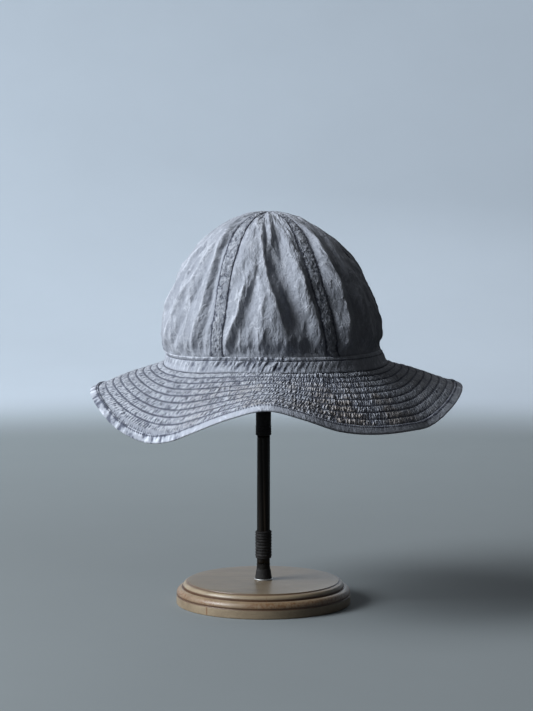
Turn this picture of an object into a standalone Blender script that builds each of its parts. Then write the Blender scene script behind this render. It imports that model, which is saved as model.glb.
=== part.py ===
"""Soft sun hat of the sailor family, hung on a turned display stand.

The hat has a six-panel crown, a head band and a wide quilted brim with a taped edge, which
hangs in waves. The stand is a round wooden base with a slim black post, whose top carries
the crown from inside. The origin is the centre of the base's underside, +Z is up, and the
front of the hat faces -Y. Azimuths are degrees from the front, positive towards +X.
"""

import math
from collections import namedtuple

import bmesh
import bpy

# ------------------------------------------------------------------ driving sizes
# Every size is in millimetres, and MM turns it into Blender's metres.
MM = 0.001
GAP = 0.3                       # left between neighbouring pieces

PANEL_WALL = 1.2                # washed cotton with its seam allowances
SEAM_WALL = 1.0                 # a felled seam, lying on the panels
BAND_WALL = 1.6
BRIM_WALL = 1.5                 # two cloth layers quilted together
TAPE_WALL = 1.0                 # binding tape, folded over the brim's edge

BAND_TOP = 216.0                # height of the seam between crown and band
BAND_BOTTOM = 208.0
BAND_TOP_RADIUS = 91.8
BAND_BOTTOM_RADIUS = 93.4
BAND_TOP_X = 9.3                # the hat hangs a little to the right of the post
BAND_BOTTOM_X = 10.6
SAG_FADE = 45.0                 # the crown takes up the band's sag over this rise

BRIM_ROOT_RADIUS = 92.4         # where the brim's upper face meets the band
BRIM_ROW_SHARES = (0.69, 0.36)   # of the quilted width, where its section bends
BINDING_WIDTH = 7.5
BINDING_ROUNDING = 0.5

SEAM_HALF_WIDTH = 4.9           # between the two stitch rows of a felled seam, halved
SEAM_TIP_HALF_WIDTH = 2.2
SEAM_NARROWS_OVER = 70.0        # measured from the tip
SEAM_CLEAR = 0.4                # a seam strip's underside, above the panels' folds
SEAM_FOOT = 0.6                 # the seams start this far above the band
SEAM_SHORT_OF_TIP = 7.0         # where the four shorter seams meet the long one
PANEL_SHORT_OF_TIP = 1.8
PANEL_PUFF = 1.2                # how far the cloth swells out beside a seam
PUFF_OVER = 9.0
FOLD_FADE = 5.0                 # folds run out this far from a seam
FOLD_END_SHARE = 0.25           # of its length, over which a fold rises from each end

PANEL_ROWS = 13
RING_COLUMNS = 72               # of the band, brim and binding

BASE_HEIGHT = 19.5
BASE_TOP_RADIUS = 64.9
BASE_STEP_RADIUS = 65.4          # a small step down from the flat top
BASE_STEP_HEIGHT = 18.7
OVOLO_HEIGHT = 14.9             # its centre, below the step
OVOLO_SIZE = 3.6
BEAD_RADIUS = 69.6              # its centre
BEAD_HEIGHT = 8.9
BEAD_SIZE = 5.0
BASE_RADIUS = 74.8
BASE_SIDE_TOP = 7.9
BASE_LEDGE = 0.9                # the side stands out this far from the bead
BASE_CHAMFER = 0.6
WASHER_HEIGHT = 0.8
WASHER_RADIUS = 7.7
FOOT_TOP = 33.3
FOOT_BOTTOM_RADIUS = 7.3
SHAFT_RADIUS = 5.6
FLUTE_DEPTH = 0.45
FLUTE_COUNT = 8
COLLAR_BOTTOM = 38.6
COLLAR_TOP = 62.2
COLLAR_RADIUS = 7.15
COLLAR_SHOULDER = 0.4           # its ends are drawn in this far
COLLAR_SHOULDER_HEIGHT = 1.0
SLEEVE_BOTTOM = 144.5
SLEEVE_RADIUS = 6.6
SLEEVE_CHAMFER = 0.45
REST_TOP = 332.7                # just under the crown's tip
REST_DOME_RADIUS = 38.0
REST_RIM_RADIUS = 24.0
REST_DOME_STEPS = 5
TURNED_STEPS = 40
POST_STEPS = 20

# ------------------------------------------------------------------ short tables
# Turned outlines: the post's foot, and the underside of the rest below its rim.
Turned = namedtuple("Turned", "radius height")
FOOT_OUTLINE = (
    Turned(6.0, FOOT_TOP),
    Turned(6.2, 29.0),
    Turned(6.9, 24.0),
)
REST_UNDERSIDE = (
    Turned(REST_RIM_RADIUS, -3.0),
    Turned(15.0, -7.0),
    Turned(SLEEVE_RADIUS, -10.0),
)

# The crown's wall from the band to the tip.
Section = namedtuple("Section", "rise radius centre_x")
CROWN_SECTIONS = (
    Section(0.0, 91.3, 8.4),
    Section(7.0, 91.5, 6.4),
    Section(20.0, 92.7, 7.0),
    Section(39.0, 88.0, 7.8),
    Section(59.0, 80.2, 6.8),
    Section(77.0, 69.8, 5.5),
    Section(92.0, 57.4, 4.3),
    Section(103.5, 44.6, 3.6),
    Section(111.0, 31.6, 3.1),
    Section(115.9, 19.2, 3.4),
    Section(118.1, 9.0, 3.8),
    Section(118.5, 0.0, 3.8),
)

# The six seams, each by its azimuth at the band, half-way up and at the tip.
Seam = namedtuple("Seam", "name foot middle head")
SEAMS = (
    Seam("left", -90.0, -90.0, -90.0),
    Seam("front_left", -31.0, -27.5, -20.0),
    Seam("front_right", 33.0, 29.0, 25.0),
    Seam("right", 90.0, 90.0, 90.0),
    Seam("back_right", 150.0, 150.0, 150.0),
    Seam("back_left", 210.0, 210.0, 210.0),
)

# A panel lies between one seam and the next one round.
Panel = namedtuple("Panel", "name columns")
PANELS = (
    Panel("crown_panel_front_left", 16),
    Panel("crown_panel_front", 22),
    Panel("crown_panel_front_right", 16),
    Panel("crown_panel_back_right", 12),
    Panel("crown_panel_back", 12),
    Panel("crown_panel_back_left", 12),
)

# Ridges (height above 0) and valleys (below 0) of the crown. Each runs from its foot to its
# head, measured up the wall from the band, and bends through its middle azimuth.
Fold = namedtuple("Fold", "foot foot_azimuth azimuth head head_azimuth height width")
FOLDS = (
    Fold(78, -6.7, -8.0, 142, -8.5, 2.8, 6.0),       # front panel: left of the deep valley
    Fold(16, 12.5, -1.5, 152, -1.0, -5.0, 6.0),      # the deep valley
    Fold(95, 9.5, 11.0, 142, 12.0, -2.4, 4.5),
    Fold(3, -24.5, -19.0, 86, -7.5, 2.8, 5.5),       # the slanting ridge
    Fold(3, -17.5, -13.0, 82, -2.5, -2.4, 6.0),
    Fold(8, 26.5, 18.5, 90, 14.0, 3.4, 7.0),         # the bulge right of the deep valley
    Fold(-6, 16.0, 16.0, 30, 16.0, -2.6, 7.0),
    Fold(-4, -46.5, -38.5, 128, -38.0, 3.0, 5.0),    # front left panel
    Fold(-4, -52.5, -45.0, 120, -45.0, -2.2, 5.0),
    Fold(-4, -56.0, -51.5, 104, -51.0, 1.6, 4.5),
    Fold(-4, -63.5, -61.5, 90, -61.0, 1.8, 5.0),
    Fold(-4, -70.0, -68.0, 92, -68.0, -1.6, 5.0),
    Fold(-4, 42.0, 43.0, 134, 37.0, 3.2, 5.0),       # front right panel
    Fold(-4, 51.0, 52.0, 124, 48.0, -3.0, 6.0),
    Fold(-4, 60.0, 58.0, 74, 58.0, 1.6, 5.0),
    Fold(10, 70.0, 71.0, 110, 69.0, -2.0, 7.0),
    Fold(-4, 104.0, 107.0, 120, 108.0, 2.6, 6.0),    # back right panel
    Fold(10, 122.0, 119.0, 130, 116.0, -3.2, 7.0),
    Fold(-4, 136.0, 134.0, 100, 131.0, 2.4, 6.0),
    Fold(-4, 163.0, 165.0, 120, 167.0, 2.6, 6.0),    # back panel
    Fold(14, 184.0, 178.0, 140, 181.0, -4.0, 7.0),
    Fold(-4, 198.0, 194.0, 100, 193.0, 2.8, 6.0),
    Fold(-4, 223.0, 226.0, 110, 229.0, 2.4, 6.0),    # back left panel
    Fold(10, 238.0, 240.0, 126, 243.0, -3.0, 7.0),
    Fold(-4, 254.0, 252.0, 110, 252.0, 2.4, 6.0),
)

# How far the band sags below its ring.
Sag = namedtuple("Sag", "azimuth depth")
BAND_SAG = (
    Sag(-110.0, 0.0),
    Sag(-56.0, 2.2),
    Sag(-18.0, 0.0),
    Sag(45.0, 0.8),
    Sag(90.0, 0.0),
    Sag(180.0, 0.6),
)

# The brim's slope below the horizontal where it leaves the band and at its edge, and its
# width down the slope. Two deep lobes hang at the front left and the front right.
Droop = namedtuple("Droop", "azimuth root_slope edge_slope width")
BRIM_DROOP = (
    Droop(-105.0, 15.0, 27.0, 70.0),
    Droop(-86.0, 15.0, 27.0, 70.0),
    Droop(-74.0, 22.0, 33.0, 71.0),
    Droop(-64.0, 31.0, 50.0, 73.0),
    Droop(-52.0, 37.0, 67.0, 73.0),
    Droop(-40.0, 37.0, 65.0, 71.0),
    Droop(-28.0, 32.0, 49.0, 70.0),
    Droop(-14.0, 26.0, 26.0, 70.0),
    Droop(-3.0, 23.0, 15.0, 70.0),
    Droop(7.0, 26.0, 24.0, 70.0),
    Droop(20.0, 30.0, 44.0, 70.0),
    Droop(34.0, 33.0, 52.0, 70.0),
    Droop(50.0, 34.0, 53.0, 70.0),
    Droop(62.0, 33.0, 52.0, 70.0),
    Droop(72.0, 26.0, 36.0, 70.0),
    Droop(84.0, 16.0, 24.0, 70.0),
    Droop(102.0, 13.0, 24.0, 70.0),
    Droop(122.0, 22.0, 38.0, 70.0),
    Droop(146.0, 31.0, 50.0, 70.0),
    Droop(172.0, 27.0, 26.0, 70.0),
    Droop(194.0, 28.0, 32.0, 70.0),
    Droop(216.0, 32.0, 52.0, 70.0),
    Droop(236.0, 24.0, 38.0, 70.0),
)


# ------------------------------------------------------------------ small mathematics
def ease(x):
    """0 below 0, 1 above 1, and a smooth step between."""
    x = min(1.0, max(0.0, x))
    return x * x * (3.0 - 2.0 * x)


def turn_between(azimuth, other):
    """The shorter way round from one azimuth to another, in degrees."""
    return (other - azimuth + 180.0) % 360.0 - 180.0


class SmoothTable:
    """Rows of numbers, read between them on a cubic. With a period it closes on itself."""

    def __init__(self, rows, period=None):
        self.rows = [tuple(row) for row in rows]
        self.start = self.rows[0][0]
        self.period = period
        if period:
            before = [(row[0] - period, *row[1:]) for row in self.rows[-2:]]
            after = [(row[0] + period, *row[1:]) for row in self.rows[:2]]
            self.rows = before + self.rows + after

    def slope(self, index, column):
        """Slope of a column at a row, taken from the rows beside it."""
        low = self.rows[max(index - 1, 0)]
        high = self.rows[min(index + 1, len(self.rows) - 1)]
        return (high[column] - low[column]) / (high[0] - low[0])

    def read(self, key):
        """All columns but the first, at a value of the first."""
        if self.period:
            key = self.start + (key - self.start) % self.period
        index = 0
        while index < len(self.rows) - 2 and self.rows[index + 1][0] < key:
            index += 1
        low = self.rows[index]
        high = self.rows[index + 1]
        span = high[0] - low[0]
        x = (key - low[0]) / span
        values = []
        for column in range(1, len(low)):
            near = self.slope(index, column) * span
            far = self.slope(index + 1, column) * span
            rise = high[column] - low[column]
            bend = near * (1.0 - x) ** 2 * x - far * (1.0 - x) * x ** 2
            values.append(low[column] + rise * ease(x) + bend)
        return values


def travelled(sections):
    """The sections, each behind the distance run along the wall to reach it."""
    rows = []
    travel = 0.0
    for index, section in enumerate(sections):
        if index:
            last = sections[index - 1]
            travel += math.hypot(section.rise - last.rise, section.radius - last.radius)
        rows.append((travel, *section))
    return rows


CROWN_WALL = SmoothTable(travelled(CROWN_SECTIONS))
CROWN_TRAVEL = CROWN_WALL.rows[-1][0]
SAG_AROUND = SmoothTable(BAND_SAG, 360.0)
BRIM_AROUND = SmoothTable(BRIM_DROOP, 360.0)


def around(azimuth, radius, centre_x, height):
    """The point of a level ring, in metres."""
    turn = math.radians(azimuth)
    x = centre_x + radius * math.sin(turn)
    y = -radius * math.cos(turn)
    return (x * MM, y * MM, height * MM)


# ------------------------------------------------------------------ the crown's surface
def three_point(foot, middle, head, x):
    """A parabola through foot at 0, middle at a half and head at 1."""
    return (foot * (1 - x) * (1 - 2 * x) + 4 * middle * x * (1 - x) + head * x * (2 * x - 1))


def seam_azimuth(seam, travel):
    return three_point(seam.foot, seam.middle, seam.head, travel / CROWN_TRAVEL)


def seam_half_width(travel):
    opened = ease((CROWN_TRAVEL - travel) / SEAM_NARROWS_OVER)
    return SEAM_TIP_HALF_WIDTH + (SEAM_HALF_WIDTH - SEAM_TIP_HALF_WIDTH) * opened


def from_nearest_seam(azimuth, travel, radius):
    """Distance across the cloth to the nearest stitch row, 0 on the seam itself."""
    turns = [abs(turn_between(azimuth, seam_azimuth(seam, travel))) for seam in SEAMS]
    return max(0.0, math.radians(min(turns)) * radius - seam_half_width(travel))


def fold_height(fold, azimuth, travel, radius):
    along = (travel - fold.foot) / (fold.head - fold.foot)
    if along <= 0.0 or along >= 1.0:
        return 0.0
    middle = three_point(fold.foot_azimuth, fold.azimuth, fold.head_azimuth, along)
    across = math.radians(turn_between(azimuth, middle)) * radius
    ends = ease(along / FOLD_END_SHARE) * ease((1.0 - along) / FOLD_END_SHARE)
    return fold.height * ends * math.exp(-(across / fold.width) ** 2)


def crown_relief(azimuth, travel, radius):
    """How far the puffed and folded cloth stands out from the plain wall."""
    clear = from_nearest_seam(azimuth, travel, radius)
    near_tip = ease((CROWN_TRAVEL - travel) / SEAM_NARROWS_OVER)
    folds = sum(fold_height(fold, azimuth, travel, radius) for fold in FOLDS)
    return PANEL_PUFF * near_tip * ease(clear / PUFF_OVER) + folds * ease(clear / FOLD_FADE)


def crown_point(azimuth, travel, lift=0.0):
    """A point of the crown, by the way up its wall, lifted off it along its normal."""
    rise, radius, centre_x = CROWN_WALL.read(travel)
    step = 0.5
    low = CROWN_WALL.read(max(travel - step, 0.0))
    high = CROWN_WALL.read(min(travel + step, CROWN_TRAVEL))
    up = high[0] - low[0]
    inward = low[1] - high[1]
    length = math.hypot(up, inward)
    lift += crown_relief(azimuth, travel, radius)
    sag = SAG_AROUND.read(azimuth)[0] * (1.0 - ease(rise / SAG_FADE))
    height = BAND_TOP - sag + rise + lift * inward / length
    return around(azimuth, radius + lift * up / length, centre_x, height)


# ------------------------------------------------------------------ the brim's surface
def brim_point(azimuth, reach, lift=0.0):
    """A point of the brim, reach down its slope from the band, lifted off its upper face."""
    root_slope, edge_slope, width = BRIM_AROUND.read(azimuth)
    slope = root_slope + (edge_slope - root_slope) * reach / width
    half_turn = math.radians(slope - root_slope) / 2.0
    chord = reach * (math.sin(half_turn) / half_turn if half_turn else 1.0)
    run = math.radians(root_slope) + half_turn
    lean = math.radians(slope)
    radius = BRIM_ROOT_RADIUS + chord * math.cos(run) + lift * math.sin(lean)
    height = BAND_BOTTOM - GAP - SAG_AROUND.read(azimuth)[0]
    height += lift * math.cos(lean) - chord * math.sin(run)
    return around(azimuth, radius, BAND_BOTTOM_X, height)


def brim_width(azimuth):
    return BRIM_AROUND.read(azimuth)[2]


# ------------------------------------------------------------------ building tools
def clear_scene():
    for item in list(bpy.data.objects):
        bpy.data.objects.remove(item)


def finish_of(name, colour, roughness, metallic=0.0):
    material = bpy.data.materials.new(name)
    material.use_nodes = True
    shader = material.node_tree.nodes["Principled BSDF"]
    shader.inputs["Base Color"].default_value = (*colour, 1.0)
    shader.inputs["Roughness"].default_value = roughness
    shader.inputs["Metallic"].default_value = metallic
    return material


def add_object(name, mesh, material, collection):
    made = bpy.data.objects.new(name, mesh)
    collection.objects.link(made)
    mesh.materials.append(material)
    mesh.shade_smooth()
    mesh.set_sharp_from_angle(angle=math.radians(40.0))
    return made


def sheet_mesh(name, columns, rows, place, closed=False):
    """A grid whose corner (column, row) is put where place says; closed joins its ends."""
    work = bmesh.new()
    bmesh.ops.create_grid(work, x_segments=columns, y_segments=rows, size=1.0)
    for vert in work.verts:
        column = round((vert.co.x + 1.0) / 2.0 * columns)
        row = round((vert.co.y + 1.0) / 2.0 * rows)
        vert.co = place(column, row)
    if closed:
        bmesh.ops.remove_doubles(work, verts=work.verts, dist=0.01 * MM)
        # Split along their shorter diagonals, rings that lie on each other bend alike.
        bmesh.ops.triangulate(work, faces=work.faces, quad_method="SHORT_EDGE")
    mesh = bpy.data.meshes.new(name)
    work.to_mesh(mesh)
    work.free()
    return mesh


def thicken(item, wall):
    """Gives a sheet its wall, behind the face it was made with."""
    solidify = item.modifiers.new("wall", "SOLIDIFY")
    solidify.thickness = wall * MM
    solidify.offset = -1.0


def turned_object(name, profile, steps, material, collection):
    """A profile of (radius, height) turned round the post's axis, from its top down."""
    work = bmesh.new()
    corners = [work.verts.new((radius * MM, 0.0, height * MM)) for radius, height in profile]
    pairs = list(zip(corners, corners[1:]))
    if profile[0][0] > 0.0:
        pairs.append((corners[-1], corners[0]))
    for pair in pairs:
        work.edges.new(pair)
    mesh = bpy.data.meshes.new(name)
    work.to_mesh(mesh)
    work.free()
    made = add_object(name, mesh, material, collection)
    screw = made.modifiers.new("turn", "SCREW")
    screw.steps = steps
    screw.render_steps = steps
    screw.use_merge_vertices = True
    screw.merge_threshold = 0.00001
    return made


def arc(centre_radius, centre_height, size, start, end, count):
    """Points (radius, height) of an arc in a profile; angles from +radius, anticlockwise."""
    points = []
    for index in range(count + 1):
        angle = math.radians(start + (end - start) * index / count)
        radius = centre_radius + size * math.cos(angle)
        points.append((radius, centre_height + size * math.sin(angle)))
    return points


# ------------------------------------------------------------------ the hat
def panel_azimuth(left, right, column, columns, travel):
    """Azimuth of a panel's column: its outer strips lie under the seams, the rest is even."""
    radius = CROWN_WALL.read(travel)[1]
    low = seam_azimuth(left, travel)
    width = turn_between(low, seam_azimuth(right, travel))
    edge = math.degrees(GAP / 2.0 / radius)
    strip = math.degrees((seam_half_width(travel) + GAP) / radius)
    strip = min(strip, edge + width / columns)
    if column == 0:
        return low + edge
    if column == columns:
        return low + width - edge
    return low + strip + (width - 2.0 * strip) * (column - 1) / (columns - 2)


def row_travel(row):
    return (CROWN_TRAVEL - PANEL_SHORT_OF_TIP) * row / PANEL_ROWS


def make_panel(index, material, collection):
    """One of the six gores of the crown, from the middle of one seam to the next."""
    panel = PANELS[index]
    left = SEAMS[index]
    right = SEAMS[(index + 1) % len(SEAMS)]

    def place(column, row):
        travel = row_travel(row)
        azimuth = panel_azimuth(left, right, column, panel.columns, travel)
        return crown_point(azimuth, travel)

    mesh = sheet_mesh(panel.name, panel.columns, PANEL_ROWS, place)
    thicken(add_object(panel.name, mesh, material, collection), PANEL_WALL)


def make_short_seam(seam, material, collection):
    """A felled seam from the band to just short of the long seam at the tip."""
    lift = SEAM_CLEAR + SEAM_WALL

    def place(column, row):
        travel = max(row_travel(row), SEAM_FOOT)
        travel = min(travel, CROWN_TRAVEL - SEAM_SHORT_OF_TIP)
        radius = CROWN_WALL.read(travel)[1]
        across = (column - 1) * seam_half_width(travel)
        azimuth = seam_azimuth(seam, travel) + math.degrees(across / radius)
        return crown_point(azimuth, travel, lift)

    name = "crown_seam_" + seam.name
    mesh = sheet_mesh(name, 2, PANEL_ROWS, place)
    thicken(add_object(name, mesh, material, collection), SEAM_WALL)


def make_cross_seam(material, collection):
    """The long felled seam that runs from one side over the tip to the other."""
    lift = SEAM_CLEAR + SEAM_WALL
    stations = [row_travel(row) for row in range(PANEL_ROWS + 1)]
    stations[0] = SEAM_FOOT
    from_tip = [CROWN_TRAVEL - travel for travel in stations]
    along = [-distance for distance in from_tip] + [0.0] + from_tip[::-1]

    def place(column, row):
        distance = along[row]
        travel = CROWN_TRAVEL - abs(distance)
        across = (column - 1) * seam_half_width(travel)
        radius = CROWN_WALL.read(travel)[1]
        side = -1.0 if distance < 0.0 else 1.0
        azimuth = math.degrees(math.atan2(side * radius, across))
        return crown_point(azimuth, CROWN_TRAVEL - math.hypot(distance, across), lift)

    mesh = sheet_mesh("crown_seam_cross", 2, len(along) - 1, place)
    thicken(add_object("crown_seam_cross", mesh, material, collection), SEAM_WALL)


def make_ring(name, section, point, material, collection):
    """A closed section run all the way round. section gives its corners at an azimuth, the
    outer face upwards and the upper face inwards, and point puts each one in its place.
    """
    count = len(section(0.0))

    def place(column, row):
        azimuth = 360.0 * column / RING_COLUMNS
        return point(azimuth, *section(azimuth)[row % count])

    mesh = sheet_mesh(name, RING_COLUMNS, count, place, closed=True)
    add_object(name, mesh, material, collection)


def band_section(azimuth):
    """The cloth band between crown and brim, corners as (share of its height, depth)."""
    return [(0.0, 0.0), (1.0, 0.0), (1.0, BAND_WALL), (0.0, BAND_WALL)]


def band_point(azimuth, up, depth):
    """A point of the band, which flares a little towards the brim."""
    radius = BAND_BOTTOM_RADIUS + (BAND_TOP_RADIUS - BAND_BOTTOM_RADIUS) * up - depth
    centre_x = BAND_BOTTOM_X + (BAND_TOP_X - BAND_BOTTOM_X) * up
    height = BAND_BOTTOM + (BAND_TOP - GAP - BAND_BOTTOM) * up
    return around(azimuth, radius, centre_x, height - SAG_AROUND.read(azimuth)[0])


def brim_section(azimuth):
    """The quilted brim: its outer edge lies in the fold of the binding."""
    width = brim_width(azimuth)
    quilted = width - BINDING_WIDTH
    bends = [share * quilted for share in BRIM_ROW_SHARES]
    reaches = (width - TAPE_WALL - GAP, quilted, *bends, 0.0)
    upper = [(reach, 0.0) for reach in reaches]
    lower = [(reach, -BRIM_WALL) for reach in reversed(reaches)]
    return upper + lower


def binding_section(azimuth):
    """The tape folded over the brim's edge, a U that opens towards the band."""
    rim = brim_width(azimuth)
    inner = rim - BINDING_WIDTH
    fold = rim - TAPE_WALL
    above = GAP + TAPE_WALL
    below = -BRIM_WALL - above
    shoulder = rim - BINDING_ROUNDING
    return [
        (rim, (above + below) / 2.0), (shoulder, above), (inner, above),
        (inner, GAP), (fold, GAP), (fold, -BRIM_WALL - GAP),
        (inner, -BRIM_WALL - GAP), (inner, below), (shoulder, below),
    ]


# ------------------------------------------------------------------ the stand
def make_base(material, collection):
    """Turned wooden base: flat top, ovolo, groove, round bead and a plain side."""
    step = [(0.0, BASE_HEIGHT), (BASE_TOP_RADIUS, BASE_HEIGHT)]
    step.append((BASE_STEP_RADIUS, BASE_STEP_HEIGHT))
    ovolo = arc(BASE_STEP_RADIUS, OVOLO_HEIGHT, OVOLO_SIZE, 75.0, 5.0, 2)
    bead = arc(BEAD_RADIUS, BEAD_HEIGHT, BEAD_SIZE, 85.0, 0.0, 3)
    side = [(BASE_RADIUS - BASE_LEDGE, BASE_SIDE_TOP + BASE_LEDGE / 2.0),
            (BASE_RADIUS, BASE_SIDE_TOP), (BASE_RADIUS, BASE_CHAMFER),
            (BASE_RADIUS - BASE_CHAMFER, 0.0)]
    profile = step + ovolo + bead + side + [(0.0, 0.0)]
    turned_object("stand_base", profile, TURNED_STEPS, material, collection)


def make_post(metal, wrap, rod, collection):
    """Washer, flared foot, fluted rod and the collar wrapped round it."""
    washer_bottom = BASE_HEIGHT + GAP
    washer_top = washer_bottom + WASHER_HEIGHT
    washer = [(0.0, washer_top), (WASHER_RADIUS, washer_top),
              (WASHER_RADIUS, washer_bottom), (0.0, washer_bottom)]
    turned_object("foot_washer", washer, POST_STEPS, metal, collection)

    foot_bottom = washer_top + GAP
    foot = [(0.0, FOOT_TOP), *FOOT_OUTLINE]
    foot += [(FOOT_BOTTOM_RADIUS, foot_bottom), (0.0, foot_bottom)]
    turned_object("post_foot", foot, POST_STEPS, wrap, collection)

    bore = SHAFT_RADIUS + GAP
    drawn_in = COLLAR_RADIUS - COLLAR_SHOULDER
    collar = [(bore, COLLAR_TOP), (drawn_in, COLLAR_TOP),
              (COLLAR_RADIUS, COLLAR_TOP - COLLAR_SHOULDER_HEIGHT),
              (COLLAR_RADIUS, COLLAR_BOTTOM + COLLAR_SHOULDER_HEIGHT),
              (drawn_in, COLLAR_BOTTOM), (bore, COLLAR_BOTTOM)]
    turned_object("post_collar", collar, POST_STEPS, wrap, collection)

    work = bmesh.new()
    sides = 3 * FLUTE_COUNT
    bmesh.ops.create_circle(work, cap_ends=True, segments=sides, radius=SHAFT_RADIUS * MM)
    for vert in work.verts:
        turn = math.atan2(vert.co.y, vert.co.x)
        flute = FLUTE_DEPTH * (0.5 + 0.5 * math.cos(FLUTE_COUNT * turn))
        vert.co *= 1.0 - flute / SHAFT_RADIUS
        vert.co.z = (FOOT_TOP + GAP) * MM
    length = SLEEVE_BOTTOM - FOOT_TOP - 2.0 * GAP
    grown = bmesh.ops.extrude_face_region(work, geom=list(work.faces))
    top = [part for part in grown["geom"] if isinstance(part, bmesh.types.BMVert)]
    bmesh.ops.translate(work, verts=top, vec=(0.0, 0.0, length * MM))
    bmesh.ops.recalc_face_normals(work, faces=work.faces)
    mesh = bpy.data.meshes.new("post_shaft")
    work.to_mesh(mesh)
    work.free()
    add_object("post_shaft", mesh, rod, collection)


def make_rest(material, collection):
    """The post's upper sleeve and the plain dome on it, under the crown's tip."""
    dome_end = math.degrees(math.acos(REST_RIM_RADIUS / REST_DOME_RADIUS))
    dome_centre = REST_TOP - REST_DOME_RADIUS
    dome = arc(0.0, dome_centre, REST_DOME_RADIUS, 90.0, dome_end, REST_DOME_STEPS)
    dome[0] = (0.0, REST_TOP)
    rim_height = dome[-1][1]
    under = [(row.radius, rim_height + row.height) for row in REST_UNDERSIDE]
    sleeve = [(SLEEVE_RADIUS, SLEEVE_BOTTOM + SLEEVE_CHAMFER),
              (SLEEVE_RADIUS - SLEEVE_CHAMFER, SLEEVE_BOTTOM), (0.0, SLEEVE_BOTTOM)]
    turned_object("hat_rest", dome + under + sleeve, POST_STEPS, material, collection)


def build():
    clear_scene()
    collection = bpy.data.collections.new("sun_hat_on_stand")
    bpy.context.scene.collection.children.link(collection)

    cloth = finish_of("washed cotton", (0.27, 0.29, 0.34), 0.9)
    seam_cloth = finish_of("seam cotton", (0.23, 0.25, 0.30), 0.9)
    band_cloth = finish_of("band cotton", (0.25, 0.27, 0.32), 0.9)
    brim_cloth = finish_of("quilted cotton", (0.24, 0.26, 0.30), 0.92)
    tape = finish_of("binding tape", (0.26, 0.28, 0.34), 0.88)
    wood = finish_of("turned wood", (0.36, 0.27, 0.19), 0.55)
    metal = finish_of("bright washer", (0.72, 0.72, 0.70), 0.3, 1.0)
    wrap = finish_of("black wrap", (0.03, 0.03, 0.032), 0.7)
    rod = finish_of("black rod", (0.015, 0.013, 0.012), 0.35)

    for index in range(len(PANELS)):
        make_panel(index, cloth, collection)
    for seam in SEAMS:
        if seam.name not in ("left", "right"):
            make_short_seam(seam, seam_cloth, collection)
    make_cross_seam(seam_cloth, collection)
    make_ring("head_band", band_section, band_point, band_cloth, collection)
    make_ring("brim", brim_section, brim_point, brim_cloth, collection)
    make_ring("brim_binding", binding_section, brim_point, tape, collection)
    make_base(wood, collection)
    make_post(metal, wrap, rod, collection)
    make_rest(wrap, collection)


build()
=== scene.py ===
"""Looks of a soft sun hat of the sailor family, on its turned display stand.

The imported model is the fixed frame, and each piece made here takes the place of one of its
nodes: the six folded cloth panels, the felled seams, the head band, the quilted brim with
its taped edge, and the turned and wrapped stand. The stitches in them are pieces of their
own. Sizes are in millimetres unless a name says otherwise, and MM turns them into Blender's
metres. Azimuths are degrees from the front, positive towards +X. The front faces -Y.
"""

import math
import random
from collections import namedtuple

import bmesh
import bpy
import numpy as np
from bpy.props import FloatProperty, FloatVectorProperty, PointerProperty
from mathutils import Euler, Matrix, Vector


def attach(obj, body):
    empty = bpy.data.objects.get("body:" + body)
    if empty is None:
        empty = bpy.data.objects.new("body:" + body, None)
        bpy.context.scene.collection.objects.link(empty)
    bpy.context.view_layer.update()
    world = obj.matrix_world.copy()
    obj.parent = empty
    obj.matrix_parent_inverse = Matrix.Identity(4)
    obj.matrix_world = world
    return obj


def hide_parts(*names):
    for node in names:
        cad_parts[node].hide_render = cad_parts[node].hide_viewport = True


bl_info = {
    "name": "Soft Sun Hat on a Stand",
    "version": (1, 0, 0),
    "blender": (4, 5, 0),
    "location": "3D View > Sidebar > Sun Hat",
    "description": "Sews a washed cotton sun hat and turns the stand that holds it",
    "category": "Add Mesh",
}

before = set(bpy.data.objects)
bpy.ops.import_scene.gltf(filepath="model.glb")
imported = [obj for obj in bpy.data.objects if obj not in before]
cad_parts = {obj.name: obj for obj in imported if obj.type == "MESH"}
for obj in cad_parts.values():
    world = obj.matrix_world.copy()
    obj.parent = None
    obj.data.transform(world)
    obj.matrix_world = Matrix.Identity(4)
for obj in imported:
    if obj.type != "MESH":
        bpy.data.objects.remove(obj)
BODY = "root"
MM = 0.001


# ------------------------------------------------------------------ sizes of the hat
GAP = 0.3                       # between neighbouring pieces
BAND_TOP = 216.0
BAND_BOTTOM = 208.0
BAND_HEIGHT = BAND_TOP - BAND_BOTTOM
BAND_TOP_RADIUS = 91.8
BAND_BOTTOM_RADIUS = 93.4
BAND_TOP_X = 9.3
BAND_BOTTOM_X = 10.6
BAND_WALL = 1.6
BAND_HEM = 3.1                  # the band's upper edge lies this far up the crown
BAND_COLUMNS = 900              # of corners round the ring
BAND_ROWS = 26                  # of corners up the outer face
BAND_BACK_ROWS = 5
BAND_LIFT = 0.6                 # of its face, between its two edges
BAND_PUCKER = 0.75
BAND_GROOVE = 0.6               # along its stitch row
SAG_FADE = 45.0                 # the band's sag is gone this far above it
FRONT_SHARE = 0.38              # of corner columns moved from the back to the front

BRIM_ROOT_RADIUS = 92.4
BRIM_WALL = 1.5
BRIM_COLUMNS = 1000
BRIM_STEPS = 7                  # rows of corners from one stitch row to the next
BRIM_TAPED_ROWS = 3             # rows of corners in the fold of the tape
BRIM_UNDER_ROWS = 17
BRIM_FLAT_RADIUS = 115.0        # turns azimuth into a width of flat cloth
UNDER_COUNT = 40.0              # added to the count of stitch rows below the brim
CURL_WIDTH = 9.0                # the brim's edge curls down over this much of its reach
QUILT_PUFF = 0.3                # share of a full pucker between any two rows
QUILT_ROLL = 0.8                # more, beside the joint under the band
QUILT_GROOVE = 0.5
# Reach of each stitch row from the brim's root. The first one is the joint under the band.
QUILT_ROWS = (3.3, 9.0, 15.0, 21.5, 28.3, 35.1, 41.9, 48.7, 55.6, 62.3)
BAND_FLARE = QUILT_ROWS[0] - 0.4    # how far the band's lower edge lies out on the brim

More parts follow.
